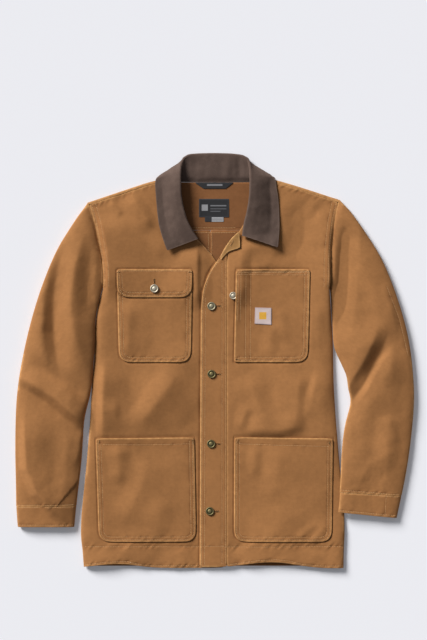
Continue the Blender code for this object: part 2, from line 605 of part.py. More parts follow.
def build_yoke():
    """Flat across the back, then rolled up and forward over each shoulder to the front's seam."""
    ends = [-260.2] + list(YOKE_COLUMNS) + [253.0]
    grid = []
    for end in ends:
        outline = shoulder_outline(end)
        column = []
        straight = outline - EDGE_TUCK - CLOTH / 2
        flat_end = straight if abs(end) >= NECK_HALF else BACK_NECK
        for share in (0.0, 0.35, 0.7, 1.0):
            column.append([end, YOKE_SEAM + share * (flat_end - YOKE_SEAM), FLOOR_MID])
        edge = outline - CLOTH / 2
        turn = math.sqrt(0.5)
        if abs(end) < NECK_HALF:
            column += [list(column[-1]) for _ in range(4)]
        else:
            column.append([end, edge - EDGE_TUCK * (1 - turn), EDGE_HEIGHT - (EDGE_HEIGHT - FLOOR_MID) * turn])
            column.append([end, edge, EDGE_HEIGHT])
            for inset in (3.4, SHOULDER_ROLL - SEAM):
                column.append([end, outline - inset, front_height(end, outline - inset)])
        if end in (ends[0], ends[-1]):
            for number, point in enumerate(column):
                point[0] = armhole_line(side_name(end), point[1])
                if number > YOKE_FLAT_ROWS:
                    point[1] += shoulder_outline(point[0]) - outline
        grid.append(column)
    points = np.array(grid).transpose(1, 0, 2)
    rows, columns = points.shape[:2]
    yoke = Panel(points, mirrored=False)
    cells = []
    for row in range(rows - 1):
        for column in range(columns - 1):
            over_neck = min(abs(grid[column][-1][0]), abs(grid[column + 1][-1][0])) < NECK_HALF - 1
            if row < YOKE_FLAT_ROWS or not over_neck:
                cells.append(yoke.cell(row, column))
    normals = yoke.normals.copy()
    normals[:YOKE_FLAT_ROWS] = (0, 0, 1)
    for column in range(columns):
        if abs(grid[column][-1][0]) < NECK_HALF:
            normals[YOKE_FLAT_ROWS:, column] = (0, 0, 1)
        else:
            for row in range(YOKE_FLAT_ROWS, rows):
                before = points[row - 1, column]
                after = points[min(row + 1, rows - 1), column]
                slope = after - before
                normal = np.array([0, -slope[2], slope[1]])
                normals[row, column] = normal / np.linalg.norm(normal)
            normals[YOKE_FLAT_ROWS, column] = (0, 0, 1)
            normals[rows - 1, column] = (0, 0, -1)
    flat_points = points.reshape(-1, 3)
    flat_normals = normals.reshape(-1, 3)
    lower = flat_points - flat_normals * CLOTH / 2
    upper = flat_points + flat_normals * CLOTH / 2
    shell("back_yoke", lower, upper, cells, DUCK_DARK)
    return yoke


# ---------------------------------------------------------------- sleeves
SHARES_BETWEEN = (0.012, 0.357, 0.54, 0.728, 0.985)    # columns between those that meet a row of the front
ARMHOLE_GAP = 0.6
ARMHOLE_FADE = 4            # rows over which the sleeve takes up its own shape


def sleeve_rows(rungs):
    """Rows from the armhole to the hand, the last of them the end of the cuff."""
    rows = [spline(rungs, t) for t in np.linspace(0, 1, SLEEVE_ROWS)]
    return rows


def sleeve_shares(rungs):
    """Columns of a sleeve from its outer fold to its inner fold, one for each row of the front at the armhole."""
    first = rungs[0]
    levels = [row.outer for row in FRONT_ROWS if first.inner_y + 5 < row.outer < first.outer_y]
    meeting = [(first.outer_y - level) / (first.outer_y - first.inner_y) for level in levels]
    return sorted([0.0, 1.0] + meeting + list(SHARES_BETWEEN))


def sleeve_place(row, number, share, side):
    """Plan position at a share of the way from the outer fold to the inner fold of one row."""
    sign = -1 if side == "right" else 1
    width = math.hypot(row.outer_x - row.inner_x, row.outer_y - row.inner_y)
    if number == 0:
        y = row.outer_y + share * (row.inner_y - row.outer_y)
        return armhole_line(side, y) + sign * ARMHOLE_GAP, y, width
    inset = CLOTH / 2 / width
    inner_share = share * (1 - 2 * inset) + inset
    x = row.outer_x + inner_share * (row.inner_x - row.outer_x)
    y = row.outer_y + inner_share * (row.inner_y - row.outer_y)
    return x, y, width


def lap_lift(x, y, side):
    """How far the left sleeve's inner side is held off the ground by the body's edge under it."""
    if side == "right":
        return 0.0
    return LAP_LIFT * smooth((y + 352) / 22) * smooth((-172 - y) / 34) * smooth((292 - x) / 20)


def sleeve_top_point(row, number, share, side, folds):
    x, y, width = sleeve_place(row, number, share, side)
    lift = lap_lift(x, y, side)
    s = 2 * share - 1
    dome = max(1 - abs(s)**2.4, 0.0)**(1 / 2.4)
    height = row.height + fold_height(folds, x, y) * smooth(number / ARMHOLE_FADE)
    height = max(height, 5.0) + 0.35 * lift
    edge = sleeve_edge(number) + SEAM / 2 + 0.55 * lift
    if lift > 0:
        edge = max(edge, FLOOR_MID + lift + 1.2 + SEAM)
    if number == 0:
        from_fold = min(share, 1 - share) * width
        return [x, y, edge + max(front_height(x, y) - edge, 0.0) * rise(from_fold, EDGE_ROUND / 3)]
    return [x, y, edge + (max(height, edge + 0.5 + 0.45 * lift) - edge) * dome]


def sleeve_edge(number):
    """Height of the side folds of a sleeve, which leave the armhole at the height of the body's own fold."""
    return EDGE_HEIGHT + (SLEEVE_EDGE_HEIGHT - EDGE_HEIGHT) * smooth(number / ARMHOLE_FADE)


def sleeve_under_point(row, number, share, side):
    x, y, width = sleeve_place(row, number, share, side)
    lift = lap_lift(x, y, side)
    edge = sleeve_edge(number) - SEAM / 2 + 0.55 * lift
    low = FLOOR_MID + lift
    if lift > 0:
        edge = max(edge, low + 1.2)
    depth = rise(min(share, 1 - share) * width, SLEEVE_TUCK)
    return [x, y, edge + (low - edge) * depth]


def sleeve_grids(rungs, folds, side):
    """Upper and lower grids of a sleeve, their rows in the panels' order, from the hand up."""
    shares = sleeve_shares(rungs)
    top = []
    under = []
    for number, row in enumerate(sleeve_rows(rungs)):
        top.append([sleeve_top_point(row, number, share, side, folds) for share in shares])
        under.append([sleeve_under_point(row, number, share, side) for share in shares])
    return np.array(top[::-1]), np.array(under[::-1])


def split_row(points, length):
    """The grid's first row is the hand end; a row is put in where the cuff's band begins."""
    start = points[0]
    following = points[1]
    run = np.linalg.norm(following - start, axis=1).mean()
    rows_in = 0
    travelled = run
    while travelled < length:
        rows_in += 1
        run = np.linalg.norm(points[rows_in + 1] - points[rows_in], axis=1).mean()
        travelled += run
    share = 1 - (travelled - length) / run
    line = points[rows_in] + share * (points[rows_in + 1] - points[rows_in])
    return line, rows_in + 1


def build_sleeve(side, rungs, folds):
    top, under = sleeve_grids(rungs, folds, side)
    mirrored = side == "left"
    line_top, keep = split_row(top, CUFF_LENGTH)
    line_under, _ = split_row(under, CUFF_LENGTH)
    gap = np.array([0, SEAM, 0])
    for name, grid, line in (("_top", top, line_top), ("_under", under, line_under)):
        panel = Panel(np.vstack([[line + gap], grid[keep:]]), mirrored)
        for column, following in ((0, 1), (-1, -2)):
            outward = panel.points[:, column] - panel.points[:, following]
            outward[:, 2] = 0
            panel.normals[:, column] = outward / np.linalg.norm(outward, axis=1, keepdims=True)
        under_side = name == "_under"
        if under_side:
            panel.normals[:, 1:-1] *= -np.sign(panel.normals[:, 1:-1, 2:])
        inner = range(1, panel.columns - 1)
        panel.square_edge([(0, column) for column in inner])
        panel.square_edge([(panel.rows - 1, column) for column in inner])
        panel.piece("sleeve_" + side + name, -CLOTH / 2, CLOTH / 2, DUCK, inside_out=under_side)
    build_cuff(side, np.vstack([top[:keep], [line_top]]), np.vstack([under[:keep], [line_under]]), mirrored)


def build_cuff(side, top, under, mirrored):
    """One closed band round the end of the sleeve."""
    rows = len(top)
    loops = []
    for number in range(rows):
        upper = top[number].copy()
        lower = under[number].copy()
        upper[[0, -1], 2] -= SEAM / 2
        loops.append(np.vstack([upper, lower[::-1][1:-1]]))
    loops = np.array(loops)
    count = loops.shape[1]
    along = np.gradient(loops, axis=0)
    around = (np.roll(loops, -1, axis=1) - np.roll(loops, 1, axis=1)) / 2
    normals = np.cross(around, along)
    if mirrored:
        normals = -normals
    normals /= np.linalg.norm(normals, axis=2, keepdims=True)
    points = loops.reshape(-1, 3)
    flat_normals = normals.reshape(-1, 3)
    cells = []
    for row in range(rows - 1):
        for k in range(count):
            following = (k + 1) % count
            cell = [row * count + k, row * count + following, (row + 1) * count + following, (row + 1) * count + k]
            cells.append(cell[::-1] if mirrored else cell)
    lower = points - flat_normals * (BAND - CLOTH / 2)
    upper = points + flat_normals * CLOTH / 2
    shell("cuff_" + side, lower, upper, cells, DUCK)


# ---------------------------------------------------------------- collar
def bezier(start, first, second, end, t):
    return (1 - t)**3 * start + 3 * t * (1 - t)**2 * first + 3 * t**2 * (1 - t) * second + t**3 * end


def room_below(reach, start, direction):
    """A reach along a direction, cut short where it would go into the ground."""
    if direction[2] >= -0.01:
        return reach
    return min(reach, max(start[2] - COLLAR_WALL / 2, 0.3) / -direction[2])


def collar_section(station):
    """Points from the neck seam up the stand, round the roll and down the fall to its free edge."""
    out = math.radians(station.out)
    turn = math.radians(station.turn)
    outward = np.array([math.cos(out), math.sin(out), 0])
    up = np.array([0, 0, 1.0])
    opening = math.cos(turn) * outward - math.sin(turn) * up
    across = math.cos(turn) * up + math.sin(turn) * outward
    roll = np.array([station.roll_x, station.roll_y, station.roll_z])
    neck = np.array([station.neck_x, station.neck_y, station.neck_z])
    edge = np.array([station.edge_x, station.edge_y, station.edge_z])
    centre = roll + opening * ROLL_RADIUS
    stand_end = centre - across * ROLL_RADIUS
    fall_start = centre + across * ROLL_RADIUS
    points = []
    stand = np.linalg.norm(stand_end - neck)
    climb = (0.25 + 0.85 * smooth(station.turn / 60)) * (stand_end[2] - neck[2])
    first = neck + up * climb
    second = stand_end + opening * room_below(0.4 * stand, stand_end, opening)
    for t in np.linspace(0, 1, STAND_STEPS + 1)[:-1]:
        points.append(bezier(neck, first, second, stand_end, t))
    for t in np.linspace(0, 1, ROLL_STEPS + 1):
        angle = math.pi * t
        points.append(centre - opening * ROLL_RADIUS * math.sin(angle) - across * ROLL_RADIUS * math.cos(angle))
    fall = np.linalg.norm(edge - fall_start)
    first = fall_start + opening * room_below(0.35 * fall, fall_start, opening)
    second = edge + outward * station.swell + up * FALL_BELLY * smooth(1 - station.turn / 60)
    for t in np.linspace(0, 1, FALL_STEPS + 1)[1:]:
        points.append(bezier(fall_start, first, second, edge, t))
    return points


def settle(points, station):
    """The stand starts at the front's neck edge, and the fall lies on the front, or on the ground behind."""
    on_front = smooth((48 - station.turn) / 16)
    settled = []
    for number, point in enumerate(points):
        x, y, z = point
        z = max(z, COLLAR_WALL / 2)
        if number > STAND_STEPS + ROLL_STEPS:
            ground = COLLAR_WALL / 2
            outline = shoulder_outline(x)
            over = on_front * smooth((outline + 7 - y) / 5.5)
            cloth = front_height(x, min(y, outline - 2), 0.3) + LEAF_CLEAR
            z = max(z, ground + (cloth - ground) * over)
        settled.append([x, y, z])
    return settled


def collar_station(rows, t):
    station = spline(rows, t)
    heights = {}
    if station.turn < 20:
        x, y = station.neck_x, station.neck_y
        heights["neck_z"] = front_height(x, min(y, shoulder_outline(x) - 6)) + NECK_CLEAR
    return station._replace(**heights)


def build_collar():
    stations = COLLAR_RIGHT + COLLAR_LEFT[::-1]
    unwrapped = []
    for station in stations:
        out = station.out if station.out > -45 else station.out + 360
        unwrapped.append(station._replace(out=out))
    points = []
    for t in np.linspace(0, 1, COLLAR_STEPS + 1):
        station = collar_station(unwrapped, t)
        points.append(settle(collar_section(station), station))
    band = Panel(points, mirrored=True)
    band.piece("collar", -COLLAR_WALL / 2, COLLAR_WALL / 2, CORDUROY)


# ---------------------------------------------------------------- trims
def trim(name, panel, base, thickness, corners, finish, steps=2):
    """A small flat piece draped on a panel; base is its offset from the panel's middle surface."""
    lower = []
    upper = []
    a, b, c, d = (np.array(corner, dtype=float) for corner in corners)
    for t in np.linspace(0, 1, steps + 1):
        for s in np.linspace(0, 1, steps + 1):
            x, y = (1 - t) * ((1 - s) * a + s * b) + t * ((1 - s) * d + s * c)
            point, normal = panel.spot(x, y)
            lower.append(point + normal * base)
            upper.append(point + normal * (base + thickness))
    count = steps + 1
    cells = [[r * count + k, r * count + k + 1, (r + 1) * count + k + 1, (r + 1) * count + k]
             for r in range(steps) for k in range(steps)]
    shell(name, lower, upper, cells, finish)


Ring = namedtuple("Ring", "radius height")
BUTTON_RINGS = (
    Ring(3.0, 0.0), Ring(3.0, 0.9), Ring(0.94 * BUTTON_RADIUS, 0.9), Ring(BUTTON_RADIUS, 1.7),
    Ring(0.86 * BUTTON_RADIUS, BUTTON_HEIGHT), Ring(0.66 * BUTTON_RADIUS, 2.1), Ring(1.8, 2.1))
BUTTON_SIDES = 14


def button(name, panel, x, y, base, scale=1.0):
    """A tack button: a short shank, a flat underside, a rounded rim and a dished face with a centre pip."""
    point, normal = panel.spot(x, y)
    turned = bmesh.new()
    loops = []
    for ring in BUTTON_RINGS:
        loop = []
        for k in range(BUTTON_SIDES):
            angle = 2 * math.pi * k / BUTTON_SIDES
            place = (ring.radius * scale * math.cos(angle), ring.radius * scale * math.sin(angle), ring.height)
            loop.append(turned.verts.new([MM * value for value in place]))
        loops.append(loop)
    turned.faces.new(loops[0][::-1])
    for below, above in zip(loops, loops[1:]):
        for k in range(BUTTON_SIDES):
            following = (k + 1) % BUTTON_SIDES
            turned.faces.new((below[k], below[following], above[following], above[k]))
    turned.faces.new(loops[-1])
    mesh = bpy.data.meshes.new(name)
    turned.to_mesh(mesh)
    turned.free()
    mesh.shade_smooth()
    mesh.set_sharp_from_angle(angle=math.radians(40))
    piece = bpy.data.objects.new(name, mesh)
    tilt = Vector((0, 0, 1)).rotation_difference(Vector(normal.tolist()))
    piece.location = Vector((MM * (point + normal * base)).tolist())
    piece.rotation_euler = tilt.to_euler()
    bpy.context.scene.collection.objects.link(piece)
    give_material(piece, BUTTON_METAL)


Spot = namedtuple("Spot", "x y")
PLACKET_BUTTONS = (Spot(-7.6, 112), Spot(-7.4, -27), Spot(-8.4, -170), Spot(-11, -308))
FLAP_BUTTON = Spot(-124.8, 148)
POCKET_BUTTON = Spot(37.0, 133.5)


def build_trims(right, left, strip, yoke):
    for number, place in enumerate(PLACKET_BUTTONS, start=1):
        button("button_%d" % number, strip, place.x, place.y, BAND / 2 + 0.35)
    button("flap_button", right, FLAP_BUTTON.x, FLAP_BUTTON.y, LAYER + 2 * CLOTH + 0.8)
    button("pocket_button", left, POCKET_BUTTON.x, POCKET_BUTTON.y, CLOTH / 2 + 0.35, 0.9)
    trim("patch", left, LAYER + CLOTH + 0.4, 0.8, ((81, 76), (115, 74), (115, 108), (82, 109)), PATCH_PALE)
    inside = CLOTH / 2 + 0.3
    trim("hang_tape", yoke, inside, 0.9, ((-24, 353.5), (22, 353.5), (37, 365.3), (-41, 365.3)), LABEL_BLACK)
    trim("neck_label", yoke, inside, 0.7, ((-33, 294.8), (28, 294.8), (28, 332), (-33, 332)), LABEL_BLACK)
    trim("size_tab", yoke, inside, 0.7, ((-21, 285.5), (17, 285.5), (17, 294.3), (-21, 294.3)), LABEL_GREY)


# ---------------------------------------------------------------- assembly
def stand_on_origin():
    """Moves every piece alike, so that the lowest point is at 0 and the outline is centred in plan."""
    bpy.context.view_layer.update()
    pieces = [piece for piece in bpy.data.objects if piece.type == "MESH"]
    corners = [piece.matrix_world @ vertex.co for piece in pieces for vertex in piece.data.vertices]
    low = [min(corner[axis] for corner in corners) for axis in range(3)]
    high = [max(corner[axis] for corner in corners) for axis in range(3)]
    shift = Vector((-(low[0] + high[0]) / 2, -(low[1] + high[1]) / 2, -low[2]))
    for piece in pieces:
        if piece.location.length > 0:
            piece.location += shift
        else:
            piece.data.transform(Matrix.Translation(shift))


for old in list(bpy.data.objects):
    bpy.data.objects.remove(old, do_unlink=True)
build_back()
yoke_panel = build_yoke()
right_front, left_front = build_fronts()
placket_strip = build_placket()
build_facing_corner()
build_sleeve("right", SLEEVE_RIGHT, SLEEVE_RIGHT_FOLDS)
build_sleeve("left", SLEEVE_LEFT, SLEEVE_LEFT_FOLDS)
build_collar()
build_trims(right_front, left_front, placket_strip, yoke_panel)
stand_on_origin()
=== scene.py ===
"""A chore jacket of brown duck canvas with a corduroy collar, laid flat on its back on a pale floor."""
import math
from collections import namedtuple

import bmesh
import bpy
import numpy as np
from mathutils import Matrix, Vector
from mathutils.bvhtree import BVHTree
from mathutils.kdtree import KDTree


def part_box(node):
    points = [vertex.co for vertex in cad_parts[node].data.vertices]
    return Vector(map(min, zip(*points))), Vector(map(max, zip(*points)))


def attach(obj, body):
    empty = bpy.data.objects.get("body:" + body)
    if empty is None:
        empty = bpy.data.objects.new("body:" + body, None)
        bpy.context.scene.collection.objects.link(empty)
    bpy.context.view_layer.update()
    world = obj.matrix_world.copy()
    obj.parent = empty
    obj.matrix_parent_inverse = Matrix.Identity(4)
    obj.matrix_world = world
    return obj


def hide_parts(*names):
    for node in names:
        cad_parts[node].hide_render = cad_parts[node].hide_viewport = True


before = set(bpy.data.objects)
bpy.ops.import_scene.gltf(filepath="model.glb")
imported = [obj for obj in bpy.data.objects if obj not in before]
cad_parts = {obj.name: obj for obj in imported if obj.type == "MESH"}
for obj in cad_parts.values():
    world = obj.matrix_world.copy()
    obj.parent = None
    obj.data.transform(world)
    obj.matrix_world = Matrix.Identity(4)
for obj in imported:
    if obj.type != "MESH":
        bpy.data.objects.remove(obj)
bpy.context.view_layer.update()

# ---------------------------------------------------------------- front panels
# Two fronts of 12 oz cotton duck, each cut from the side seam round the side fold to the middle. Armhole, hem
# and neck are felled or turned and sewn with two rows, which puckers them, and the cloth between the rows
# lies in slack folds.
MM = 0.001
DUCK_BROWN = "#9C6D43"
DUCK_FADED = "#CB9A64"
DUCK_PAINTED_HOLLOW_SHADE = "#7A4C2B"
YARN_PITCH = 1.1            # mm; real duck has about 0.55 mm between yarns, drawn twice as coarse to show
WASH_PATCH = 70             # mm, the broad patches that washing leaves
MOTTLE = 7                  # mm, the small uneven patches of the dye
SLUB = (24, 1.6)            # mm, a thick place in a single yarn: its length and width
FUZZ = 0.9                  # mm between tufts of loose fibre


def linear(hex_colour):
    """An sRGB hex colour as the linear values that a shader takes."""
    parts = [int(hex_colour[k:k + 2], 16) / 255 for k in (1, 3, 5)]
    return [part / 12.92 if part <= 0.04045 else ((part + 0.055) / 1.055)**2.4 for part in parts] + [1.0]


def fill(node, sockets):
    """Sets a node's sockets, or links them to a socket or to the first output of another node."""
    for socket, value in sockets.items():
        if isinstance(value, bpy.types.Node):
            value = value.outputs[0]
        if isinstance(value, bpy.types.NodeSocket):
            node.id_data.links.new(value, node.inputs[socket])
        else:
            node.inputs[socket].default_value = value


def add_node(tree, kind, sockets=None, **settings):
    """Adds a shader node, sets its own settings, and fills its sockets."""
    node = tree.nodes.new("ShaderNode" + kind)
    for name, value in settings.items():
        setattr(node, name, value)
    fill(node, sockets or {})
    return node


def new_material(name):
    """A material, its nodes and its shader."""
    material = bpy.data.materials.new(name)
    material.use_nodes = True
    return material, material.node_tree, material.node_tree.nodes["Principled BSDF"]


def cloth_grain(tree):
    """The place in millimetres along the cloth's own grain."""
    return add_node(tree, "Attribute", attribute_name="grain").outputs["Vector"]


# Cotton duck is a plain weave of thick plied yarns, piece dyed and garment washed. Washing rubs the dye off
# the folded edges, which are paler. The hollows between puckers and along stitching are darkened towards a
# deeper brown as painted shade. The eye sees a dull, dry, slightly uneven cloth with a fine check of yarn
# crowns.
def duck_canvas(name, brown, faded, hollow_shade_brown):
    material, tree, shader = new_material(name)
    grain = cloth_grain(tree)
    wash = add_node(tree, "TexNoise", {"Vector": grain, "Scale": 1 / WASH_PATCH, "Detail": 3.0,
                                       "Roughness": 0.55})
    mottle = add_node(tree, "TexNoise", {"Vector": grain, "Scale": 1 / MOTTLE, "Detail": 4.0,
                                         "Roughness": 0.65})
    per_slub = (1 / SLUB[0], 1 / SLUB[1], 1.0)
    slub_place = add_node(tree, "VectorMath", {0: grain, 1: per_slub}, operation="MULTIPLY")
    slubs = add_node(tree, "TexNoise", {"Vector": slub_place, "Scale": 1.0, "Detail": 2.0})
    parts = add_node(tree, "SeparateXYZ", {0: grain})
    per_yarn = 2 * math.pi / YARN_PITCH
    waves = []
    for axis in ("X", "Y"):
        angle = add_node(tree, "Math", {0: parts.outputs[axis], 1: per_yarn}, operation="MULTIPLY")
        waves.append(add_node(tree, "Math", {0: angle}, operation="SINE"))
    weave = add_node(tree, "Math", {0: waves[0], 1: waves[1]}, operation="MULTIPLY")

    # dye: broad uneven wash, fine mottling and single thick yarns that took the dye differently
    tone = add_node(tree, "Math", {0: wash, 1: mottle}, operation="ADD")
    tone = add_node(tree, "Math", {0: slubs, 1: 0.35, 2: tone}, operation="MULTIPLY_ADD")
    shade = add_node(tree, "MapRange", {0: tone, 1: 0.8, 2: 1.55, 3: 0.87, 4: 1.13})
    yarn = add_node(tree, "MapRange", {0: weave, 1: -1.0, 2: 1.0, 3: 0.95, 4: 1.05})
    shade = add_node(tree, "Math", {0: shade, 1: yarn}, operation="MULTIPLY")
    wear = add_node(tree, "Attribute", attribute_name="wear").outputs["Fac"]
    patchy = add_node(tree, "MapRange", {0: mottle, 1: 0.35, 2: 0.65, 3: 0.55, 4: 1.25})
    worn = add_node(tree, "Math", {0: wear, 1: patchy}, operation="MULTIPLY", use_clamp=True)
    # painted shade: grooves of stitched rows, dips beside sewn-on edges and pucker hollows are darkened
    painted_hollow_shade = add_node(tree, "Attribute", attribute_name="painted_hollow_shade").outputs["Fac"]
    base = add_node(tree, "MixRGB", {0: painted_hollow_shade, 1: linear(brown), 2: linear(hollow_shade_brown)})
    base = add_node(tree, "MixRGB", {0: worn, 1: base, 2: linear(faded)})
    colour = add_node(tree, "VectorMath", {0: base, "Scale": shade}, operation="SCALE")

    # woven relief: yarn crowns over a little random fuzz
    fuzz = add_node(tree, "TexNoise", {"Vector": grain, "Scale": 1 / FUZZ, "Detail": 2.0})
    relief = add_node(tree, "Math", {0: weave, 1: 0.35, 2: fuzz}, operation="MULTIPLY_ADD")
    bump = add_node(tree, "Bump", {"Height": relief, "Strength": 0.35, "Distance": 0.25 * MM})
    fill(shader, {"Base Color": colour, "Normal": bump, "Roughness": 0.88, "Specular IOR Level": 0.12,
                  "Sheen Weight": 0.06, "Sheen Roughness": 0.6, "Sheen Tint": linear("#C79C6E")})
    return material


duck = duck_canvas("cotton_duck_washed", DUCK_BROWN, DUCK_FADED, DUCK_PAINTED_HOLLOW_SHADE)

# Every cloth piece takes the form of its solid, on a finer mesh whose folded edges are round. Listed
# creases, the sag between them and the pull of each stitched row then move it up and down. Pieces that lie on
# each other share one relief, so the layers stay together.
FOLDED_EDGE = 2.4           # mm from a cut edge to where the cloth lies flat again
WALL_MOST = 3.0             # mm; no wall of cloth in the solids is thicker
CELL = 6.0                  # mm, about the size of a piece's cells on its hidden side
LET_OUT = 0.22              # mm that each cut edge is let out, so that pieces sewn together touch
DENSIFY = (None, 5.0)       # the whole upper side is halved once, and again within 5 mm of a row
CREST = 3.0                 # mm over which a fold's crest is rounded
END_SHARE = 0.3             # of a fold's length, over which it dies out at each end
FOOT = 0.012                # how softly a fold's foot runs out
FOOT_DROP = 0.0055          # which brings the far end of that foot to nothing
GROOVE = 1.3                # mm, half the width of the groove that a row of stitches pulls
PUCKER = 6.0                # mm, about the length of a pucker along a row
LATTICE = 61                # random heights a side, after which they repeat
SHARP = math.radians(62)    # more than this between two faces is a cut edge
CORNER = math.radians(35)   # more than this between two walls is a corner

Crease = namedtuple("Crease", "path height left right")
Row = namedtuple("Row", "path groove pucker spread")


def ease(value):
    """Goes from 0 to 1 as the value does, and sets off and arrives softly."""
    t = np.clip(value, 0.0, 1.0)
    return t * t * (3 - 2 * t)


def rumple(x, y, size, seed):
    """Smooth uneven heights from -1 to 1, about size millimetres from hill to hollow."""
    lattice = np.random.default_rng(seed).uniform(-1, 1, (LATTICE, LATTICE))
    u = x / size + 700.0
    v = y / size + 700.0
    i = np.floor(u).astype(int)
    j = np.floor(v).astype(int)
    s = ease(u - i)
    t = ease(v - j)
    left, right, below, above = i % LATTICE, (i + 1) % LATTICE, j % LATTICE, (j + 1) % LATTICE
    low = (1 - s) * lattice[left, below] + s * lattice[right, below]
    high = (1 - s) * lattice[left, above] + s * lattice[right, above]
    return (1 - t) * low + t * high


def nearest(path, x, y, reach):
    """Which points are near a path, how far from it on either side, and how far along it."""
    xs = [point[0] for point in path]
    ys = [point[1] for point in path]
    beside = (x > min(xs) - reach) & (x < max(xs) + reach)
    near = np.nonzero(beside & (y > min(ys) - reach) & (y < max(ys) + reach))[0]
    px, py = x[near], y[near]
    best = np.full(len(near), 1e6)
    along = np.zeros(len(near))
    side = np.ones(len(near))
    run = 0.0
    for (ax, ay), (bx, by) in zip(path, path[1:]):
        length = max(math.hypot(bx - ax, by - ay), 1e-6)
        t = np.clip(((px - ax) * (bx - ax) + (py - ay) * (by - ay)) / length**2, 0, 1)
        gap = np.hypot(px - ax - t * (bx - ax), py - ay - t * (by - ay))
        closer = gap < best
        turned = (px - ax) * (by - ay) - (py - ay) * (bx - ax)
        best = np.where(closer, gap, best)
        along = np.where(closer, run + t * length, along)
        side = np.where(closer, np.sign(turned), side)
        run += length
    return near, best, best * side, along


def creased(creases, x, y):
    """Sum of folds: each rises evenly to a soft crest along its path and dies out at both ends."""
    total = np.zeros(len(x))
    for number, crease in enumerate(creases):
        near, gap, across, along = nearest(crease.path, x, y, 1.15 * max(crease.left, crease.right))
        run = sum(math.dist(one, other) for one, other in zip(crease.path, crease.path[1:]))
        flank = np.where(across > 0, crease.right, crease.left)
        uneven = 0.15 * rumple(x[near], y[near], 45.0, 5 + number)
        fall = 1 - (np.sqrt(gap**2 + CREST**2) - CREST) / (flank * (1 + uneven))
        rise = 0.5 * (fall + np.sqrt(fall**2 + FOOT)) - FOOT_DROP
        ends = ease(along / (END_SHARE * run)) * ease((run - along) / (END_SHARE * run))
        total[near] += crease.height * np.maximum(rise, 0) * ends
    return total


def sewn(rows, x, y):
    """Each stitched row sinks into the cloth and gathers it into short slanted puckers, and gives the painted
    shade that darkens its groove and the puckers' hollows.
    """
    height = np.zeros(len(x))
    painted_hollow_shade = np.zeros(len(x))
    for number, row in enumerate(rows):
        near, gap, across, along = nearest(row.path, x, y, 2.5 * row.spread)
        dip = np.exp(-(gap / GROOVE)**2)
        pull = rumple(along + 0.8 * across, 0.3 * across + 40 * number, PUCKER, 11)
        fade = np.exp(-(gap / row.spread)**2)
        height[near] += row.pucker * fade * pull - row.groove * dip
        # painted shade: darker in the groove and in the puckers' hollows
        painted_hollow_shade[near] = np.maximum(painted_hollow_shade[near], 0.3 * dip * (row.groove > 0) - 0.4 * fade * np.minimum(pull, 0))
    return height, np.clip(painted_hollow_shade, 0, 1)


def weld_quads(node):
    """The node's solid with its triangles joined back into the cells it was made of."""
    solid = bmesh.new()
    solid.from_mesh(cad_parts[node].data)
    bmesh.ops.remove_doubles(solid, verts=solid.verts, dist=2e-3 * MM)
    bmesh.ops.join_triangles(solid, faces=solid.faces, angle_face_threshold=math.radians(60),
                             angle_shape_threshold=math.pi)
    solid.verts.ensure_lookup_table()
    solid.verts.index_update()
    return solid


def walls_of(solid):
    """The narrow faces of a solid's cut edges. They run round it in rings, so stray faces are left out."""
    sharp = {edge for edge in solid.edges if len(edge.link_faces) == 2 and edge.calc_face_angle(0) > SHARP}
    narrow = set()
    for face in solid.faces:
        lengths = [edge.calc_length() / MM for edge in face.edges]
        long_rim = any(edge in sharp and length > WALL_MOST for edge, length in zip(face.edges, lengths))
        all_short = max(lengths) < WALL_MOST and sum(edge in sharp for edge in face.edges) >= 2
        if min(lengths) < WALL_MOST and long_rim or all_short:
            narrow.add(face)
    rings = []
    while narrow:
        ring = [narrow.pop()]
        for face in ring:
            beside = {other for edge in face.edges for other in edge.link_faces if other in narrow}
            narrow -= beside
            ring += beside
        rings.append(ring)
    longest = max(len(ring) for ring in rings)
    return {face for ring in rings if len(ring) > 0.1 * longest for face in ring}


def rim_of(node):
    """The upper rim of a flat piece as one loop of points in plan, in millimetres."""
    solid = weld_quads(node)
    walls = walls_of(solid)
    links = {}
    for edge in solid.edges:
        sides = [face in walls for face in edge.link_faces]
        if sorted(sides) == [False, True] and edge.link_faces[sides.index(False)].normal.z > 0:
            one, other = (vertex.index for vertex in edge.verts)
            links.setdefault(one, []).append(other)
            links.setdefault(other, []).append(one)
    loop = [min(links, key=lambda index: solid.verts[index].co.y)]
    while True:
        onward = [index for index in links[loop[-1]] if index not in loop]
        if not onward:
            break
        loop.append(onward[0])
    points = [(solid.verts[index].co.x / MM, solid.verts[index].co.y / MM) for index in loop]
    solid.free()
    return points


def cloth_points(mesh):
    """All points of a mesh, in millimetres."""
    flat = np.empty(3 * len(mesh.vertices))
    mesh.vertices.foreach_get("co", flat)
    return flat.reshape(-1, 3) / MM


def keep_values(mesh, name, values):
    """Stores a number or a vector for each point of the cloth."""
    kind = "FLOAT_VECTOR" if values.ndim == 2 else "FLOAT"
    stored = mesh.attributes.new(name, kind, "POINT")
    stored.data.foreach_set("vector" if values.ndim == 2 else "value", values.astype(np.float32).ravel())


def finer_near(mesh, rows, reach):
    """Halves the cells of the upper side, either all of them or those beside the stitched rows."""
    points = cloth_points(mesh)
    close = np.full(len(points), reach is None)
    for row in rows if reach else ():
        near, gap, _, _ = nearest(row.path, points[:, 0], points[:, 1], reach)
        close[near[gap < reach]] = True
    fine = bmesh.new()
    fine.from_mesh(mesh)
    edges = set()
    for face in fine.faces:
        if face.normal.z > 0.15 and all(close[vertex.index] for vertex in face.verts):
            edges.update(face.edges)
    if edges:
        bmesh.ops.subdivide_edges(fine, edges=list(edges), cuts=1, use_grid_fill=True)
        fine.to_mesh(mesh)
    fine.free()


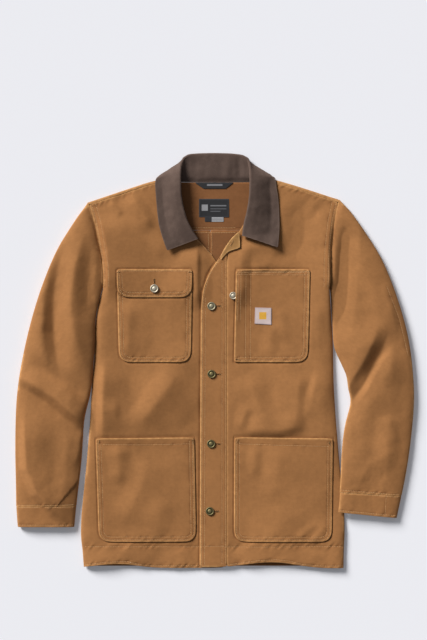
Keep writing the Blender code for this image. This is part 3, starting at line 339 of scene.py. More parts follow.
def sliced(solid, step):
    """Cuts large flat faces into squares, so that they refine evenly."""
    for normal in (Vector((1, 0, 0)), Vector((0, 1, 0))):
        places = [vertex.co.dot(normal) / MM for vertex in solid.verts]
        for k in range(math.floor(min(places) / step) + 1, math.ceil(max(places) / step)):
            parts = list(solid.verts) + list(solid.edges) + list(solid.faces)
            bmesh.ops.bisect_plane(solid, geom=parts, dist=0.05 * MM, plane_co=normal * k * step * MM,
                                   plane_no=normal)


def relaxed(mesh, rounds):
    """Evens out a mesh's flat cells without shrinking it, by pulling in and pushing back by turns."""
    points = cloth_points(mesh)
    ends = np.empty(2 * len(mesh.edges), int)
    mesh.edges.foreach_get("vertices", ends)
    one, other = ends.reshape(-1, 2).T
    count = np.bincount(one, minlength=len(points)) + np.bincount(other, minlength=len(points))
    for step in (0.5, -0.52) * rounds:
        for axis in range(3):
            values = points[:, axis]
            total = np.bincount(one, values[other], len(points))
            total += np.bincount(other, values[one], len(points))
            points[:, axis] = values + step * (total / count - values)
    mesh.vertices.foreach_set("co", (points * MM).ravel())
    mesh.update()


def put_in_scene(name, data):
    """A new object with this mesh, light or camera."""
    thing = bpy.data.objects.new(name, data)
    bpy.context.scene.collection.objects.link(thing)
    return thing


def refined(name, node, cell, edge, corner, slices, rounds):
    """A new piece in the form of a node's solid: a finer mesh with its cut edges turned round."""
    solid = weld_quads(node)
    if slices:
        sliced(solid, slices)
    walls = walls_of(solid)
    sheet = [face for face in solid.faces if face not in walls]
    mean = math.sqrt(sum(face.calc_area() for face in sheet) / len(sheet)) / MM
    hold = solid.verts.layers.float.new("crease_vert")
    for post in solid.edges:
        if len(post.link_faces) == 2 and all(face in walls for face in post.link_faces):
            if post.calc_face_angle(0) > CORNER:
                for vertex in post.verts:
                    vertex[hold] = corner
    rims = [tuple(tuple(vertex.co) for vertex in link.verts) for face in walls for link in face.edges
            if any(other not in walls for other in link.link_faces)]
    if edge:
        bmesh.ops.inset_region(solid, faces=sheet, thickness=edge * MM, use_even_offset=False,
                               use_boundary=True)
    mesh = bpy.data.meshes.new(name)
    solid.to_mesh(mesh)
    solid.free()
    piece = put_in_scene(name, mesh)
    modifier = piece.modifiers.new("Finer", "SUBSURF")
    modifier.levels = max(1, round(math.log2(mean / cell)))
    if rounds:
        modifier.subdivision_type = "SIMPLE"
    made = piece.evaluated_get(bpy.context.evaluated_depsgraph_get())
    piece.data = bpy.data.meshes.new_from_object(made)
    piece.modifiers.clear()
    if rounds:
        relaxed(piece.data, rounds)
    return piece, rims


def edge_wear(points, rims, reach):
    """1 on a piece's own rim, fading to 0 within reach millimetres."""
    places = []
    for one, other in rims:
        steps = max(2, int((Vector(one) - Vector(other)).length / (1.5 * MM)))
        places += [Vector(one).lerp(Vector(other), k / steps) for k in range(steps)]
    tree = KDTree(len(places))
    for number, place in enumerate(places):
        tree.insert(place, number)
    tree.balance()
    gaps = np.array([tree.find(point * MM)[2] for point in points]) / MM
    return np.exp(-(gaps / reach)**2)


def lay_cloth(name, node, relief, rows, finish, grain=None, wear=0.7, wear_reach=2.2, cell=CELL,
              densify=DENSIFY, edge=FOLDED_EDGE, corner=0.5, slices=0, rounds=0, reverse=None, turned=None):
    """Makes one cloth piece: its solid's form, then the creases and the pull of its stitching.

    Faces for which turned(centre in mm, normal) holds show the cloth's reverse.
    """
    piece, rims = refined(name, node, cell, edge, corner, slices, rounds)
    for reach in densify:
        finer_near(piece.data, rows, reach)
    points = cloth_points(piece.data)
    outward = np.empty(3 * len(points))
    piece.data.vertex_normals.foreach_get("vector", outward)
    shift, painted_hollow_shade = relief(points)
    worn = edge_wear(points, rims, wear_reach) * (wear(points) if callable(wear) else wear)
    keep_values(piece.data, "grain", points if grain is None else grain(points))
    keep_values(piece.data, "wear", worn)
    # painted shade in stitched grooves and hollows, kept for the cloth's colour
    keep_values(piece.data, "painted_hollow_shade", painted_hollow_shade)
    points += shift if shift.ndim == 2 else np.outer(shift, (0, 0, 1))
    points[:, :2] += LET_OUT * outward.reshape(-1, 3)[:, :2]
    piece.data.vertices.foreach_set("co", (points * MM).ravel())
    piece.data.update()
    piece.data.shade_smooth()
    piece.data.materials.clear()
    piece.data.materials.append(finish)
    if reverse:
        piece.data.materials.append(reverse)
        for face in piece.data.polygons:
            face.material_index = int(turned(face.center / MM, face.normal))
    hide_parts(node)
    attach(piece, "root")
    return piece


def shifted(path, dx, dy):
    """The same path, moved sideways and up."""
    return [(x + dx, y + dy) for x, y in path]


def resampled(path, step):
    """Points at even steps along a path."""
    points = np.array(path, dtype=float)
    runs = np.concatenate([[0], np.cumsum(np.hypot(*np.diff(points, axis=0).T))])
    places = np.arange(0, runs[-1] + step / 2, step)
    xs, ys = (np.interp(places, runs, points[:, axis]) for axis in range(2))
    return [(float(x), float(y)) for x, y in zip(xs, ys)]


def inside_line(loop, inward, sewn_edge):
    """A line inside a closed loop, beside those edges that are sewn down."""
    points = np.array(resampled(list(loop) + [loop[0]], 7.0))
    ahead = np.roll(points, -1, axis=0) - np.roll(points, 1, axis=0)
    ahead /= np.maximum(np.hypot(*ahead.T), 1e-6)[:, None]
    area = np.sum(points[:, 0] * np.roll(points[:, 1], -1) - np.roll(points[:, 0], -1) * points[:, 1])
    normal = np.column_stack([-ahead[:, 1], ahead[:, 0]]) * (1 if area > 0 else -1)
    moved = points + normal * inward
    keep = [sewn_edge(x, y) for x, y in points]
    if all(keep):
        return [tuple(place) for place in moved] + [tuple(moved[0])]
    first = next(k for k in range(len(keep)) if keep[k] and not keep[k - 1])
    order = [(first + k) % len(keep) for k in range(len(keep))]
    return [tuple(moved[k]) for k in order if keep[k]]


# Where the fronts are sewn, and the folds of everything that lies on them.
ARMHOLE_RIGHT = ((-257, 321), (-246, 284), (-237, 231), (-230, 194), (-229, 150))
ARMHOLE_LEFT = ((253, 324), (244.5, 283), (238.5, 231), (236.5, 194), (236, 150))
RIM_ROW = 4.3               # mm from an edge to its first row of stitches
FELL_ROW = 11.6             # mm from an edge to its second row
HEM_STITCH = -381.5
BODY_CREASES = (
    # right shoulder: a strip stands up along the armhole, and the panel falls away from it
    Crease(((-217, 116), (-216, 175), (-219, 226), (-227, 267), (-239, 321)), 9.0, 10, 82),
    Crease(((-124, 263), (-147, 300), (-163, 323), (-180, 347)), 5.5, 29, 16),
    Crease(((-227, 304), (-184, 273), (-133, 237), (-71, 202)), 5.0, 25, 51),
    Crease(((-188, 296), (-202, 312), (-217, 327)), 2.2, 12, 8),
    # right front beside the placket's top: the panel drops towards the neck's point
    Crease(((-26, 99), (-26, 157), (-30, 202), (-45, 243)), 8.5, 82, 20),
    # right front below the pocket: a slack hollow between the side fold and a slanting swell
    Crease(((-229, -176), (-229, -91), (-225, 9)), 9.0, 12, 57),
    Crease(((-161, -147), (-133, -106), (-100, -63), (-67, -16)), 8.0, 35, 86),
    Crease(((-243, -106), (-219, -102), (-190, -98)), 3.0, 20, 45),
    # right chest pocket: it bellies between its stitched edges
    Crease(((-176, -3), (-176, 62), (-172, 132)), 4.5, 25, 41),
    # left shoulder and chest: a hollow beside the collar, and the pocket's top edge
    Crease(((158, 202), (171, 241), (175, 284), (158, 329)), -3.0, 29, 53),
    Crease(((220, 226), (220, 267), (212, 312)), 2.5, 33, 16),
    Crease(((183, 292), (197, 310), (214, 329)), 1.6, 12, 10),
    Crease(((58, 191), (113, 196), (167, 191)), 2.6, 18, 10),
    Crease(((52, 99), (54, 165), (56, 243)), 5.0, 35, 18),
    Crease(((44, 232), (97, 232), (146, 226)), 5.0, 25, 29),
    Crease(((236, 42), (234, 144), (232, 226), (240, 319)), 8.0, 53, 8),
    # left front below the pocket: three upright folds and the ledge over the lower pocket's mouth
    Crease(((117, -147), (93, -98), (74, -50), (66, -20)), 5.0, 29, 31),
    Crease(((158, -151), (169, -102), (171, -50), (179, -16)), 5.0, 45, 20),
    Crease(((191, -130), (197, -81), (216, -20)), 3.4, 12, 37),
    Crease(((35, -145), (83, -143), (130, -143), (167, -137), (195, -126)), 5.5, 29, 14),
    Crease(((52, -147), (58, -118), (70, -89)), 3.0, 16, 12),
    # left chest pocket: two short pulls below the patch
    Crease(((113, 1), (113, 38), (130, 83)), 2.4, 20, 16),
    Crease(((148, 34), (140, 66), (132, 112)), 2.2, 12, 16),
    Crease(((220, 21), (208, 62), (212, 124)), 1.8, 29, 16),
    # right lower pocket: two upright folds under its mouth, the second turning out to the corner
    Crease(((-196, -258), (-194, -214), (-202, -167)), 4.5, 23, 27),
    Crease(((-198, -356), (-178, -311), (-149, -262), (-139, -216), (-135, -171)), 5.0, 33, 86),
    Crease(((-112, -378), (-116, -327), (-100, -276)), 2.0, 29, 25),
    # left lower pocket: a broad fold and crumples over the bottom corner
    Crease(((117, -301), (128, -235), (138, -167)), 4.0, 31, 86),
    Crease(((85, -241), (80, -204), (85, -171)), 2.0, 14, 12),
    Crease(((97, -368), (144, -327), (199, -301)), 2.4, 53, 33),
    Crease(((167, -368), (187, -350), (216, -329)), 1.6, 8, 10),
    Crease(((187, -378), (212, -360), (228, -327)), 1.8, 10, 10),
    # hems
    Crease(((-137, -430), (-161, -401), (-198, -376)), 3.0, 25, 45),
    Crease(((-63, -430), (-67, -401), (-71, -380)), 2.0, 33, 20),
    Crease(((72, -430), (64, -405), (48, -383)), 2.6, 16, 61),
    Crease(((199, -426), (203, -401), (208, -385)), 1.8, 29, 25))

DIP = 0.9                   # mm that a panel sinks along the edge of a piece sewn onto it
pocket_rims = {name: rim_of(name) for name in (
    "lower_pocket_right", "lower_pocket_left", "chest_pocket_right", "chest_pocket_left", "chest_flap")}
HEM_RIGHT = ((-268, -419), (-224, -413), (-178, -412), (-151, -419), (-131, -421), (-33, -421))
HEM_LEFT = ((24, -420), (54, -415), (87, -410), (127, -408), (154, -411), (179, -418), (220, -421),
            (262, -421))
body_rows = []
for armhole, inwards in ((ARMHOLE_RIGHT, 1), (ARMHOLE_LEFT, -1)):
    body_rows += [Row(shifted(armhole, inwards * RIM_ROW, 0), 0.35, 0.35, 5),
                  Row(shifted(armhole, inwards * (FELL_ROW + 1), 0), 0.35, 0.4, 6)]
body_rows += [
    # hems, each sewn along its upper and its lower edge
    Row(((-266, HEM_STITCH), (-32, HEM_STITCH - 1)), 0.4, 0.7, 8),
    Row(((23, HEM_STITCH - 1), (262, HEM_STITCH)), 0.4, 0.7, 8),
    Row(HEM_RIGHT, 0.3, 0.55, 6), Row(HEM_LEFT, 0.3, 0.55, 6),
    # the neck's edge, then the two shoulder seams
    Row(((-36, 246), (-13, 223), (0, 209), (8, 203)), 0.3, 0.3, 4),
    Row(((-120, 359), (-190, 336), (-250, 316)), 0.0, 0.45, 6),
    Row(((126, 361), (190, 341), (250, 321)), 0.0, 0.45, 6)]
for pocket in ("lower_pocket_right", "lower_pocket_left", "chest_pocket_right"):
    mouth = max(point[1] for point in pocket_rims[pocket])
    for inward in (RIM_ROW, FELL_ROW - 1.5):
        line = inside_line(pocket_rims[pocket], inward, lambda x, y, top=mouth: y < top - 4)
        body_rows.append(Row(line, 0.4, 0.5, 4.5))
flap_top = max(point[1] for point in pocket_rims["chest_flap"])
for inward in (RIM_ROW, FELL_ROW - 1.5):
    flap_line = inside_line(pocket_rims["chest_flap"], inward, lambda x, y: y < flap_top - 2)
    open_line = inside_line(pocket_rims["chest_pocket_left"], inward, lambda x, y: y < 183 and x > 42)
    body_rows += [Row(flap_line, 0.4, 0.45, 4), Row(open_line, 0.4, 0.5, 4.5)]
body_rows += [
    # the pockets' mouths and the flap's top, then two upright rows that part the left chest pocket
    Row(((-229, -172), (-140, -173), (-52, -171)), 0.3, 0.3, 5),
    Row(((50, -171), (140, -174), (232, -176)), 0.3, 0.3, 5),
    Row(((-198, 183), (-50, 183)), 0.3, 0.3, 4), Row(((44, 183), (192, 182)), 0.3, 0.3, 4),
    Row(((46, 176), (192, 175)), 0.3, 0.3, 4),
    Row(((64, 180), (63, 0)), 0.3, 0.3, 5), Row(((74, 180), (73, 0)), 0.3, 0.3, 5)]
# each pocket's edge dips into the panel below it, and the dip is darkened as painted shade
for pocket, loop in pocket_rims.items():
    bare_top = 145 if pocket == "chest_pocket_right" else 400
    body_rows.append(Row(inside_line(loop, -1.6, lambda x, y: y < bare_top), DIP, 0.0, 2.0))
PLACKET_EDGE = ((22, 235), (13, 221), (5, 205), (-7, 189), (-15, 174), (-25, 141), (-28, 105),
                (-29, -120), (-30.5, -423))
body_rows += [
    # the panel beside the placket's folded edge, which dips and is darkened as painted shade, the placket's
    # upright rows, and its hem
    Row(shifted(PLACKET_EDGE, -1.4, 0), 1.2, 0.0, 2.0),
    Row(shifted(PLACKET_EDGE[1:], 3.4, -1.5), 0.35, 0.3, 4),
    Row(((-19, 128), (-20, -100), (-21, -418)), 0.25, 0.2, 4), Row(((15, 200), (15, -418)), 0.25, 0.2, 4),
    Row(((21.5, 205), (22, -418)), 0.35, 0.3, 4), Row(((-27, -381), (21, -381)), 0.3, 0.3, 4)]


DEEPEST = -2.2              # mm that a hollow may sink
LOW_SIDE = 2.4              # mm above the floor; what lies lower stays in place
MOVING_OVER = 3.2           # mm above that, over which the cloth comes to move fully


def body_lift(x, y):
    """Height of the body's folds and of the slack cloth between them, less on the stiff placket."""
    lift = creased(BODY_CREASES, x, y)
    lift += 0.8 * rumple(x, y, 60, 1) + 0.42 * rumple(x + 0.4 * y, y, 21, 2) + 0.13 * rumple(x, y, 8, 3)
    placket_share = 0.45 + 0.55 * ease((abs(x + 3) - 24) / 10)
    return placket_share * np.maximum(lift, DEEPEST)


def body_relief(points):
    """Lift in millimetres of anything that lies on the body's upper side, and the painted shade in its
    stitched grooves and hollows.
    """
    x, y, z = points.T
    upper = ease((z - LOW_SIDE) / MOVING_OVER)
    pull, painted_hollow_shade = sewn(body_rows, x, y)
    return (body_lift(x, y) + pull) * upper, painted_hollow_shade * upper


# the inner side is coloured darker than the outside partly as painted shade for the hollow of the neck
DUCK_INSIDE_SHADED = "#7F5535"
duck_inside_shaded = duck_canvas("cotton_duck_inner_side_shaded", DUCK_INSIDE_SHADED, "#A87245", "#633B22")


def inner_side(centre, normal):
    """The underside of a front, above the layer that lies on the floor."""
    return normal.z < -0.2 and centre.z > 2.2


fronts = []
for side, wear, width, area in (("right", 0.5, 0.315, 0.211), ("left", 0.4, 0.262, 0.180)):
    front = lay_cloth("front_%s_panel" % side, "front_" + side, body_relief, body_rows, duck,
                      wear=wear, reverse=duck_inside_shaded, turned=inner_side)
    fronts.append(front)

# ---------------------------------------------------------------- back panels and yoke
# Two back panels joined at the centre and a yoke that runs over the shoulders to the front seams, all of duck
# with felled seams. Their inner side shows in the neck, deeper and redder than the outside: partly the
# unfaded cloth, partly painted shade for the hollow of the neck.
BACK_ROWS = (
    Row(((-250, 262), (250, 262)), 0.25, 0.2, 4), Row(((-250, 272), (250, 272)), 0.25, 0.2, 4),
    Row(((-5.5, 262), (-5.5, -418)), 0.2, 0.2, 4), Row(((-13, 262), (-13, -418)), 0.2, 0.2, 4))
NECK_SIDE = 110             # mm from the middle to the sides of what shows in the neck
NECK_LOW = 150              # mm, its lower end
NECK_TOP = 350              # mm, its upper end, below the hang tape
ONE_LAYER = 1.8             # mm above the floor; the layer that lies on it is all lower


def back_relief(points):
    """The layer on the floor only ripples upwards, along its seams and in the middle of the neck, where its
    seams also get painted shade.
    """
    x, y, z = points.T
    lift, painted_hollow_shade = sewn(BACK_ROWS, x, y)
    upper = ease((z - 0.8) / 0.4)
    inner = upper * ease((y - NECK_LOW) / 40) * ease((NECK_SIDE - abs(x)) / 30)
    soft = 0.35 * (1 + rumple(x, y, 30, 7)) * ease((NECK_TOP - y) / 20)
    return (np.maximum(lift, -0.3) * upper + soft * inner) * (z < ONE_LAYER), painted_hollow_shade * inner


def yoke_relief(points):
    """Flat inside the neck, finely uneven where it rolls over the shoulder."""
    x, y, z = points.T
    flat_lift, painted_hollow_shade = back_relief(points)
    roll = ease((z - 4.0) / 2.0)
    over = 0.35 * rumple(x, y, 13, 9) + 0.25 * rumple(x, y, 5, 10)
    return flat_lift + roll * over, painted_hollow_shade


BACK_CELL = 12              # mm; hardly any of it shows, so its cells are large
BACK_SLICES = 24.0          # mm between the cuts that make the large flat panels refine evenly


def back_inside(centre, normal):
    """The upper side of the layer on the floor. The yoke's rolled part shows its outer side again."""
    return normal.z > 0.2 and centre.z < 3.0


backs = []
for side, width, area in (("right", 0.250, 0.161), ("left", 0.260, 0.170)):
    back = lay_cloth("back_%s_panel" % side, "back_" + side, back_relief, BACK_ROWS, duck,
                     cell=BACK_CELL, densify=(), slices=BACK_SLICES, reverse=duck_inside_shaded, turned=back_inside)
    backs.append(back)
yoke = lay_cloth("back_yoke_panel", "back_yoke", yoke_relief, BACK_ROWS, duck,
                 reverse=duck_inside_shaded, turned=back_inside)

# ---------------------------------------------------------------- pockets and flap
# Patch pockets of the same duck, with their edges turned under and sewn down with two rows. Mouths are hemmed
# and stand a little off the panel. The left chest pocket is open along its inner side.
FLAT_POCKETS = (
    ("lower_pocket_right", (0.205, 0.214), 0.0431, "front_right_panel"),
    ("lower_pocket_left", (0.205, 0.214), 0.0432, "front_left_panel"),
    ("chest_pocket_right", (0.153, 0.153), 0.0232, "front_right_panel"),
    ("chest_flap", (0.154, 0.058), 0.0088, "chest_pocket_right_panel"),
    ("chest_pocket_left", (0.156, 0.191), 0.0291, "front_left_panel"))
pockets = []
for node, size, area, under in FLAT_POCKETS:
    pocket = lay_cloth(node + "_panel", node, body_relief, body_rows, duck, wear=0.85)
    pockets.append(pocket)

# ---------------------------------------------------------------- placket and facing
# The left front's edge is a doubled strip of duck with a curved top, its folded edge rubbed pale. Beside the
# neck the facing turns out and shows its own side, a duller gold.


def folded_edge_wear(points):
    """The placket's folded edge is rubbed hard. Its other side lies in a seam."""
    return 0.25 + 0.75 * ease((12 - points[:, 0]) / 8)


placket = lay_cloth("placket_strip", "placket", body_relief, body_rows, duck,
                    wear=folded_edge_wear)
FACING_GOLD = "#997246"
facing_canvas = duck_canvas("cotton_duck_facing", FACING_GOLD, "#CB9E69", "#855833")
facing = lay_cloth("facing_turned_corner", "facing_corner", body_relief, body_rows, facing_canvas,
                   wear=0.9)

# ---------------------------------------------------------------- sleeves and cuffs
# Two-piece sleeves of duck with a doubled cuff band. Laid down, each sleeve collapses into long folds from
# the armhole and a break at the elbow, and its two side seams lie near the outline.
SLEEVE_CREASES = (
    # right sleeve: a broad ridge from the armhole, then a hollow, then a narrower ridge near the outline
    Crease(((-256, -48), (-270, -1), (-284, 50), (-293, 99),
            (-293, 148), (-284, 198), (-270, 249), (-256, 298)), 7.5, 33, 35),
    Crease(((-305, -65), (-321, -3), (-330, 62), (-330, 124), (-319, 196), (-297, 257)), -6.0, 18, 33),
    Crease(((-338, -69), (-350, -7), (-356, 62), (-348, 124), (-334, 198), (-313, 257)), 5.5, 29, 25),
    Crease(((-245, 79), (-248, 144), (-243, 202), (-237, 251)), 1.5, 10, 10),
    # right sleeve: the break at the elbow, and the forearm's long ridge near its outer side
    Crease(((-432, -24), (-379, -42), (-325, -77), (-284, -112), (-239, -155)), 13.0, 31, 16),
    Crease(((-284, -335), (-330, -307), (-362, -270),
            (-383, -219), (-387, -153), (-387, -81)), 13.0, 14, 102),
    Crease(((-387, 17), (-338, -24), (-297, -48), (-252, -89)), -4.0, 16, 12),
    Crease(((-288, -221), (-278, -180), (-276, -139)), 3.5, 31, 10),
    # left sleeve: a hollow under the armhole, the crescent break at the elbow and the folds below it
    Crease(((251, 21), (259, 114), (265, 202), (269, 271), (263, 319)), -7.5, 16, 25),
    Crease(((273, 50), (288, 124), (292, 216), (279, 298)), -2.5, 25, 61),
    Crease(((240, -98), (277, -44), (302, -3), (322, 38), (341, 87)), 9.0, 53, 23),
    Crease(((302, -52), (329, -12), (349, 34), (359, 79)), -2.0, 20, 25),
    Crease(((283, -104), (314, -59), (343, -3), (376, 30)), 5.5, 10, 61),
    Crease(((292, -272), (300, -237), (324, -206), (355, -190), (386, -182)), 4.5, 53, 37),
    Crease(((349, -110), (361, -143), (374, -176)), 2.0, 12, 29),
    Crease(((290, -225), (281, -163), (281, -118)), 1.5, 16, 37),
    Crease(((376, 34), (361, 99), (339, 157)), 2.0, 33, 10))

# The sleeves lie tucked against the body's sides below the armholes, so no floor shows between them. Each
# pair is a height on the jacket and a distance in mm: how far the inner edge moves, or how far out it lies.
TUCKS_RIGHT = ((330, 0.5), (300, 0.9), (160, 0.9), (140, 2.0), (120, 3.6), (60, 4.2), (20, 4.2), (-50, 3.2),
               (-90, 0))
TUCKS_LEFT = ((330, 0.8), (300, 2.4), (156, 2.6), (140, 3.8), (100, 5.2), (40, 5.2), (24, 4.6), (-4, 0))
INNER_EDGE = ((321, 257), (284, 246), (231, 237), (194, 231), (160, 229), (120, 239), (80, 247), (-60, 256),
              (-100, 263))
TUCK_REACH = 34.0           # mm from the inner edge to where the sleeve stays in place
SQUARER = 1.2               # mm by which the stiff cloth fills out a sleeve's sides
SLEEVE_SIDE = 5.4           # mm above the floor; the side folds below it stay in place
SLEEVE_OVER = 4.0           # mm above that, over which the cloth comes to move fully
sleeve_rows = [
    # each cuff: the seam's row on the sleeve, the row below it, and the row at the wrist
    Row(((-404, -296.5), (-290, -295)), 0.35, 0.5, 6), Row(((-404, -301), (-290, -300)), 0.35, 0.4, 5),
    Row(((-405, -337), (-291, -337)), 0.35, 0.5, 5),
    Row(((259, -265), (376, -275)), 0.35, 0.5, 6), Row(((258, -270), (375, -280)), 0.35, 0.4, 5),
    Row(((256, -307), (370, -318)), 0.35, 0.5, 5),
    # the left cuff's end, a piece of the left sleeve's seam, and the two armholes
    Row(((351, -274), (349, -314)), 0.3, 0.35, 5), Row(((352, 152), (378, 84), (396, 10)), 0.3, 0.4, 5),
    Row(((-262, 318), (-251, 283), (-241, 230), (-234, 194)), 0.0, 0.45, 6),
    Row(((258, 322), (249, 283), (242, 230), (240, 194)), 0.0, 0.45, 6)]


def tucked(x, y):
    """How far the sleeve's inner side moves towards the body."""
    inner = np.interp(y, *zip(*INNER_EDGE[::-1]))
    move = np.zeros(len(x))
    for sign, tucks in ((-1, TUCKS_RIGHT), (1, TUCKS_LEFT)):
        gap = np.interp(y, *zip(*tucks[::-1]))
        move = np.where(np.sign(x) == sign, -sign * gap * (1 - ease((abs(x) - inner) / TUCK_REACH)), move)
    return move


def sleeve_relief(points):
    """Shift of a sleeve's upper side. Its lift dies out where the side folds turn under."""
    x, y, z = points.T
    upper = ease((z - SLEEVE_SIDE) / SLEEVE_OVER)
    lift = creased(SLEEVE_CREASES, x, y)
    lift += 0.6 * rumple(x, 0.6 * y, 40, 21) + 0.4 * rumple(x, y, 18, 22) + 0.13 * rumple(x, y, 8, 23)
    lift = np.maximum(lift, -0.6 * np.maximum(z - 5.5, 0))
    lift += SQUARER * ease((z - 6) / 4) * (1 - ease((z - 12) / 8))
    pull, painted_hollow_shade = sewn(sleeve_rows, x, y)
    return np.column_stack([tucked(x, y), 0 * y, (lift + pull) * upper]), painted_hollow_shade * upper


def under_relief(points):
    """The under panel only follows the tuck."""
    x, y, z = points.T
    return np.column_stack([tucked(x, y), 0 * y, 0 * z]), 0 * z


def sleeve_grain(side):
    """Canvas grain that follows the sleeve, which slants from the shoulder to the elbow."""
    def place(points):
        above_elbow = points[:, 1] + 40
        lean = 0.05 * above_elbow + 0.37 * np.maximum(above_elbow, 0)
        leaning = points.copy()
        leaning[:, 0] -= lean * (1 if side == "right" else -1)
        return leaning
    return place


for side, rest in (("right", "floor"), ("left", "front_left_panel")):
    upper = lay_cloth("sleeve_%s_upper" % side, "sleeve_%s_top" % side, sleeve_relief, sleeve_rows, duck,
                      grain=sleeve_grain(side), cell=4.5)
    under = lay_cloth("sleeve_%s_under_panel" % side, "sleeve_%s_under" % side, under_relief, (), duck,
                      grain=sleeve_grain(side), cell=BACK_CELL, densify=())
    cuff = lay_cloth("cuff_%s_band" % side, "cuff_" + side, sleeve_relief, sleeve_rows, duck,
                     wear=0.45)

# ---------------------------------------------------------------- collar
# A one-piece roll of brown cotton corduroy, sewn to the neck, with wales from the neck seam to the edge. The
# cut pile takes the light along each wale's back and is darker between wales. Wear rubs it pale in patches
# and along its edges.
CORDUROY_BROWN = "#5C4C45"
CORDUROY_VALLEY = "#4E403A"
CORDUROY_RUBBED = "#75635A"
WALE_PITCH = 1.8            # mm, fourteen wales to the inch
Rung = namedtuple("Rung", "roll edge")
LEAF_RIGHT = (
    Rung((-66, 417), (-67, 422)), Rung((-69.5, 402), (-80, 404)), Rung((-69.5, 383), (-102, 382)),
    Rung((-69.5, 362), (-121, 356)), Rung((-69, 337), (-119.5, 326)), Rung((-63, 302), (-115.5, 292)),
    Rung((-53, 276), (-110, 259)), Rung((-36, 248), (-97, 225)))
LEAF_LEFT = (
    Rung((68, 417), (70, 420)), Rung((72, 402), (82, 405)), Rung((72, 383), (100, 388)),
    Rung((72, 362), (124, 366)), Rung((71, 344), (130, 338)), Rung((67, 310), (131.5, 306)),
    Rung((61, 277), (131, 268)), Rung((57, 246), (130, 232)))


def collar_grain(points):
    """Along the neck and across it. The stand's wales are upright, and each leaf's fan out with its rungs."""
    x, y, _ = points.T
    place = points.copy()
    for rungs, side in ((LEAF_RIGHT, -1), (LEAF_LEFT, 1)):
        roll = np.interp(-y, [-rung.roll[1] for rung in rungs], [abs(rung.roll[0]) for rung in rungs])
        leaf = side * x > roll - 0.5
        middles = [(Vector(rung.roll) + Vector(rung.edge)) / 2 for rung in rungs]
        runs = np.cumsum([0] + [(b - a).length for a, b in zip(middles, middles[1:])])
        past = []
        for rung in rungs:
            across = (Vector(rung.edge) - Vector(rung.roll)).normalized()
            past.append(side * ((y - rung.roll[1]) * across.x * -1 + (x - rung.roll[0]) * across.y))
        along = runs[0] + past[0]
        for k in range(1, len(rungs)):
            share = past[k - 1] / np.where(abs(past[k - 1] - past[k]) < 1e-6, 1e-6, past[k - 1] - past[k])
            along = np.where(past[k - 1] >= 0, runs[k - 1] + share * (runs[k] - runs[k - 1]), along)
        along = np.where(past[-1] >= 0, runs[-1] + past[-1], along)
        place[:, 0] = np.where(leaf, along + 200 * side, place[:, 0])
        place[:, 1] = np.where(leaf, x, place[:, 1])
    return place


COLLAR_CREASES = (
    Crease(((24, 368), (30, 420)), 1.3, 7, 6), Crease(((52, 372), (47, 422)), -1.2, 5, 7),
    Crease(((-38, 366), (-40, 420)), -0.9, 8, 7), Crease(((14, 372), (12, 420)), -0.8, 6, 8),
    Crease(((-70, 252), (-94, 312)), 1.0, 16, 12), Crease(((104, 256), (114, 340)), 1.1, 14, 16))
CURL = 5.0                  # mm that the leaves' points curl up


def collar_relief(points):
    """The leaves ride on the body's folds, and the stand stays down on the yoke."""
    x, y, z = points.T
    lift = creased(COLLAR_CREASES, x, y) + 0.45 * rumple(x, y, 24, 31) + 0.2 * rumple(x, y, 9, 32)
    carried = np.maximum(body_lift(x, y), 0) * ease((375 - y) / 40) * ease((abs(x) - 30) / 20)
    curl = CURL * ease((310 - y) / 80) * ease((abs(x) - 40) / 50)
    return lift * ease((z - 1.6) / 3.0) + (carried + curl) * ease((z - 5.0) / 3.0), np.zeros(len(points))


corduroy, tree, shader = new_material("cotton_corduroy_cut_pile")
grain = cloth_grain(tree)
along_neck = add_node(tree, "SeparateXYZ", {0: grain}).outputs["X"]
wander = add_node(tree, "TexNoise", {"Vector": grain, "Scale": 1 / 30, "Detail": 1.0})
course = add_node(tree, "Math", {0: wander, 1: 1.2, 2: along_neck}, operation="MULTIPLY_ADD")
turn = add_node(tree, "Math", {0: course, 1: 2 * math.pi / WALE_PITCH}, operation="MULTIPLY")
wale = add_node(tree, "Math", {0: turn}, operation="COSINE")
crown = add_node(tree, "MapRange", {0: wale, 1: -0.9, 2: 0.5, 3: 0.0, 4: 1.0})
pile_place = add_node(tree, "VectorMath", {0: grain, 1: (1.2, 0.35, 1.0)}, operation="MULTIPLY")
pile = add_node(tree, "TexNoise", {"Vector": pile_place, "Scale": 1.6, "Detail": 3.0})
crushed = add_node(tree, "TexNoise", {"Vector": grain, "Scale": 1 / 16, "Detail": 2.0, "Roughness": 0.6})
rubbed = add_node(tree, "MapRange", {0: crushed, 1: 0.42, 2: 0.75, 3: 0.0, 4: 0.55})
edge_rub = add_node(tree, "Attribute", attribute_name="wear").outputs["Fac"]
rub = add_node(tree, "Math", {0: rubbed, 1: edge_rub}, operation="ADD", use_clamp=True)
pile_dye = add_node(tree, "MixRGB", {0: rub, 1: linear(CORDUROY_BROWN), 2: linear(CORDUROY_RUBBED)})
pile_tone = add_node(tree, "MapRange", {0: pile, 1: 0.3, 2: 0.7, 3: 0.8, 4: 1.2})
pile_dye = add_node(tree, "VectorMath", {0: pile_dye, "Scale": pile_tone}, operation="SCALE")
colour = add_node(tree, "MixRGB", {0: crown, 1: linear(CORDUROY_VALLEY), 2: pile_dye})
round_wale = add_node(tree, "Math", {0: wale, 1: pile}, operation="ADD")
bump = add_node(tree, "Bump", {"Height": round_wale, "Strength": 0.45, "Distance": 0.35 * MM})
fill(shader, {"Base Color": colour, "Normal": bump, "Roughness": 0.95, "Specular IOR Level": 0.15,
              "Sheen Weight": 0.25, "Sheen Roughness": 0.6, "Sheen Tint": linear("#B49C8C")})
collar = lay_cloth("collar_roll", "collar", collar_relief, (), corduroy, grain=collar_grain,
                   wear=0.9, wear_reach=1.6, edge=1.2, cell=3.4, densify=(None,), rounds=12)

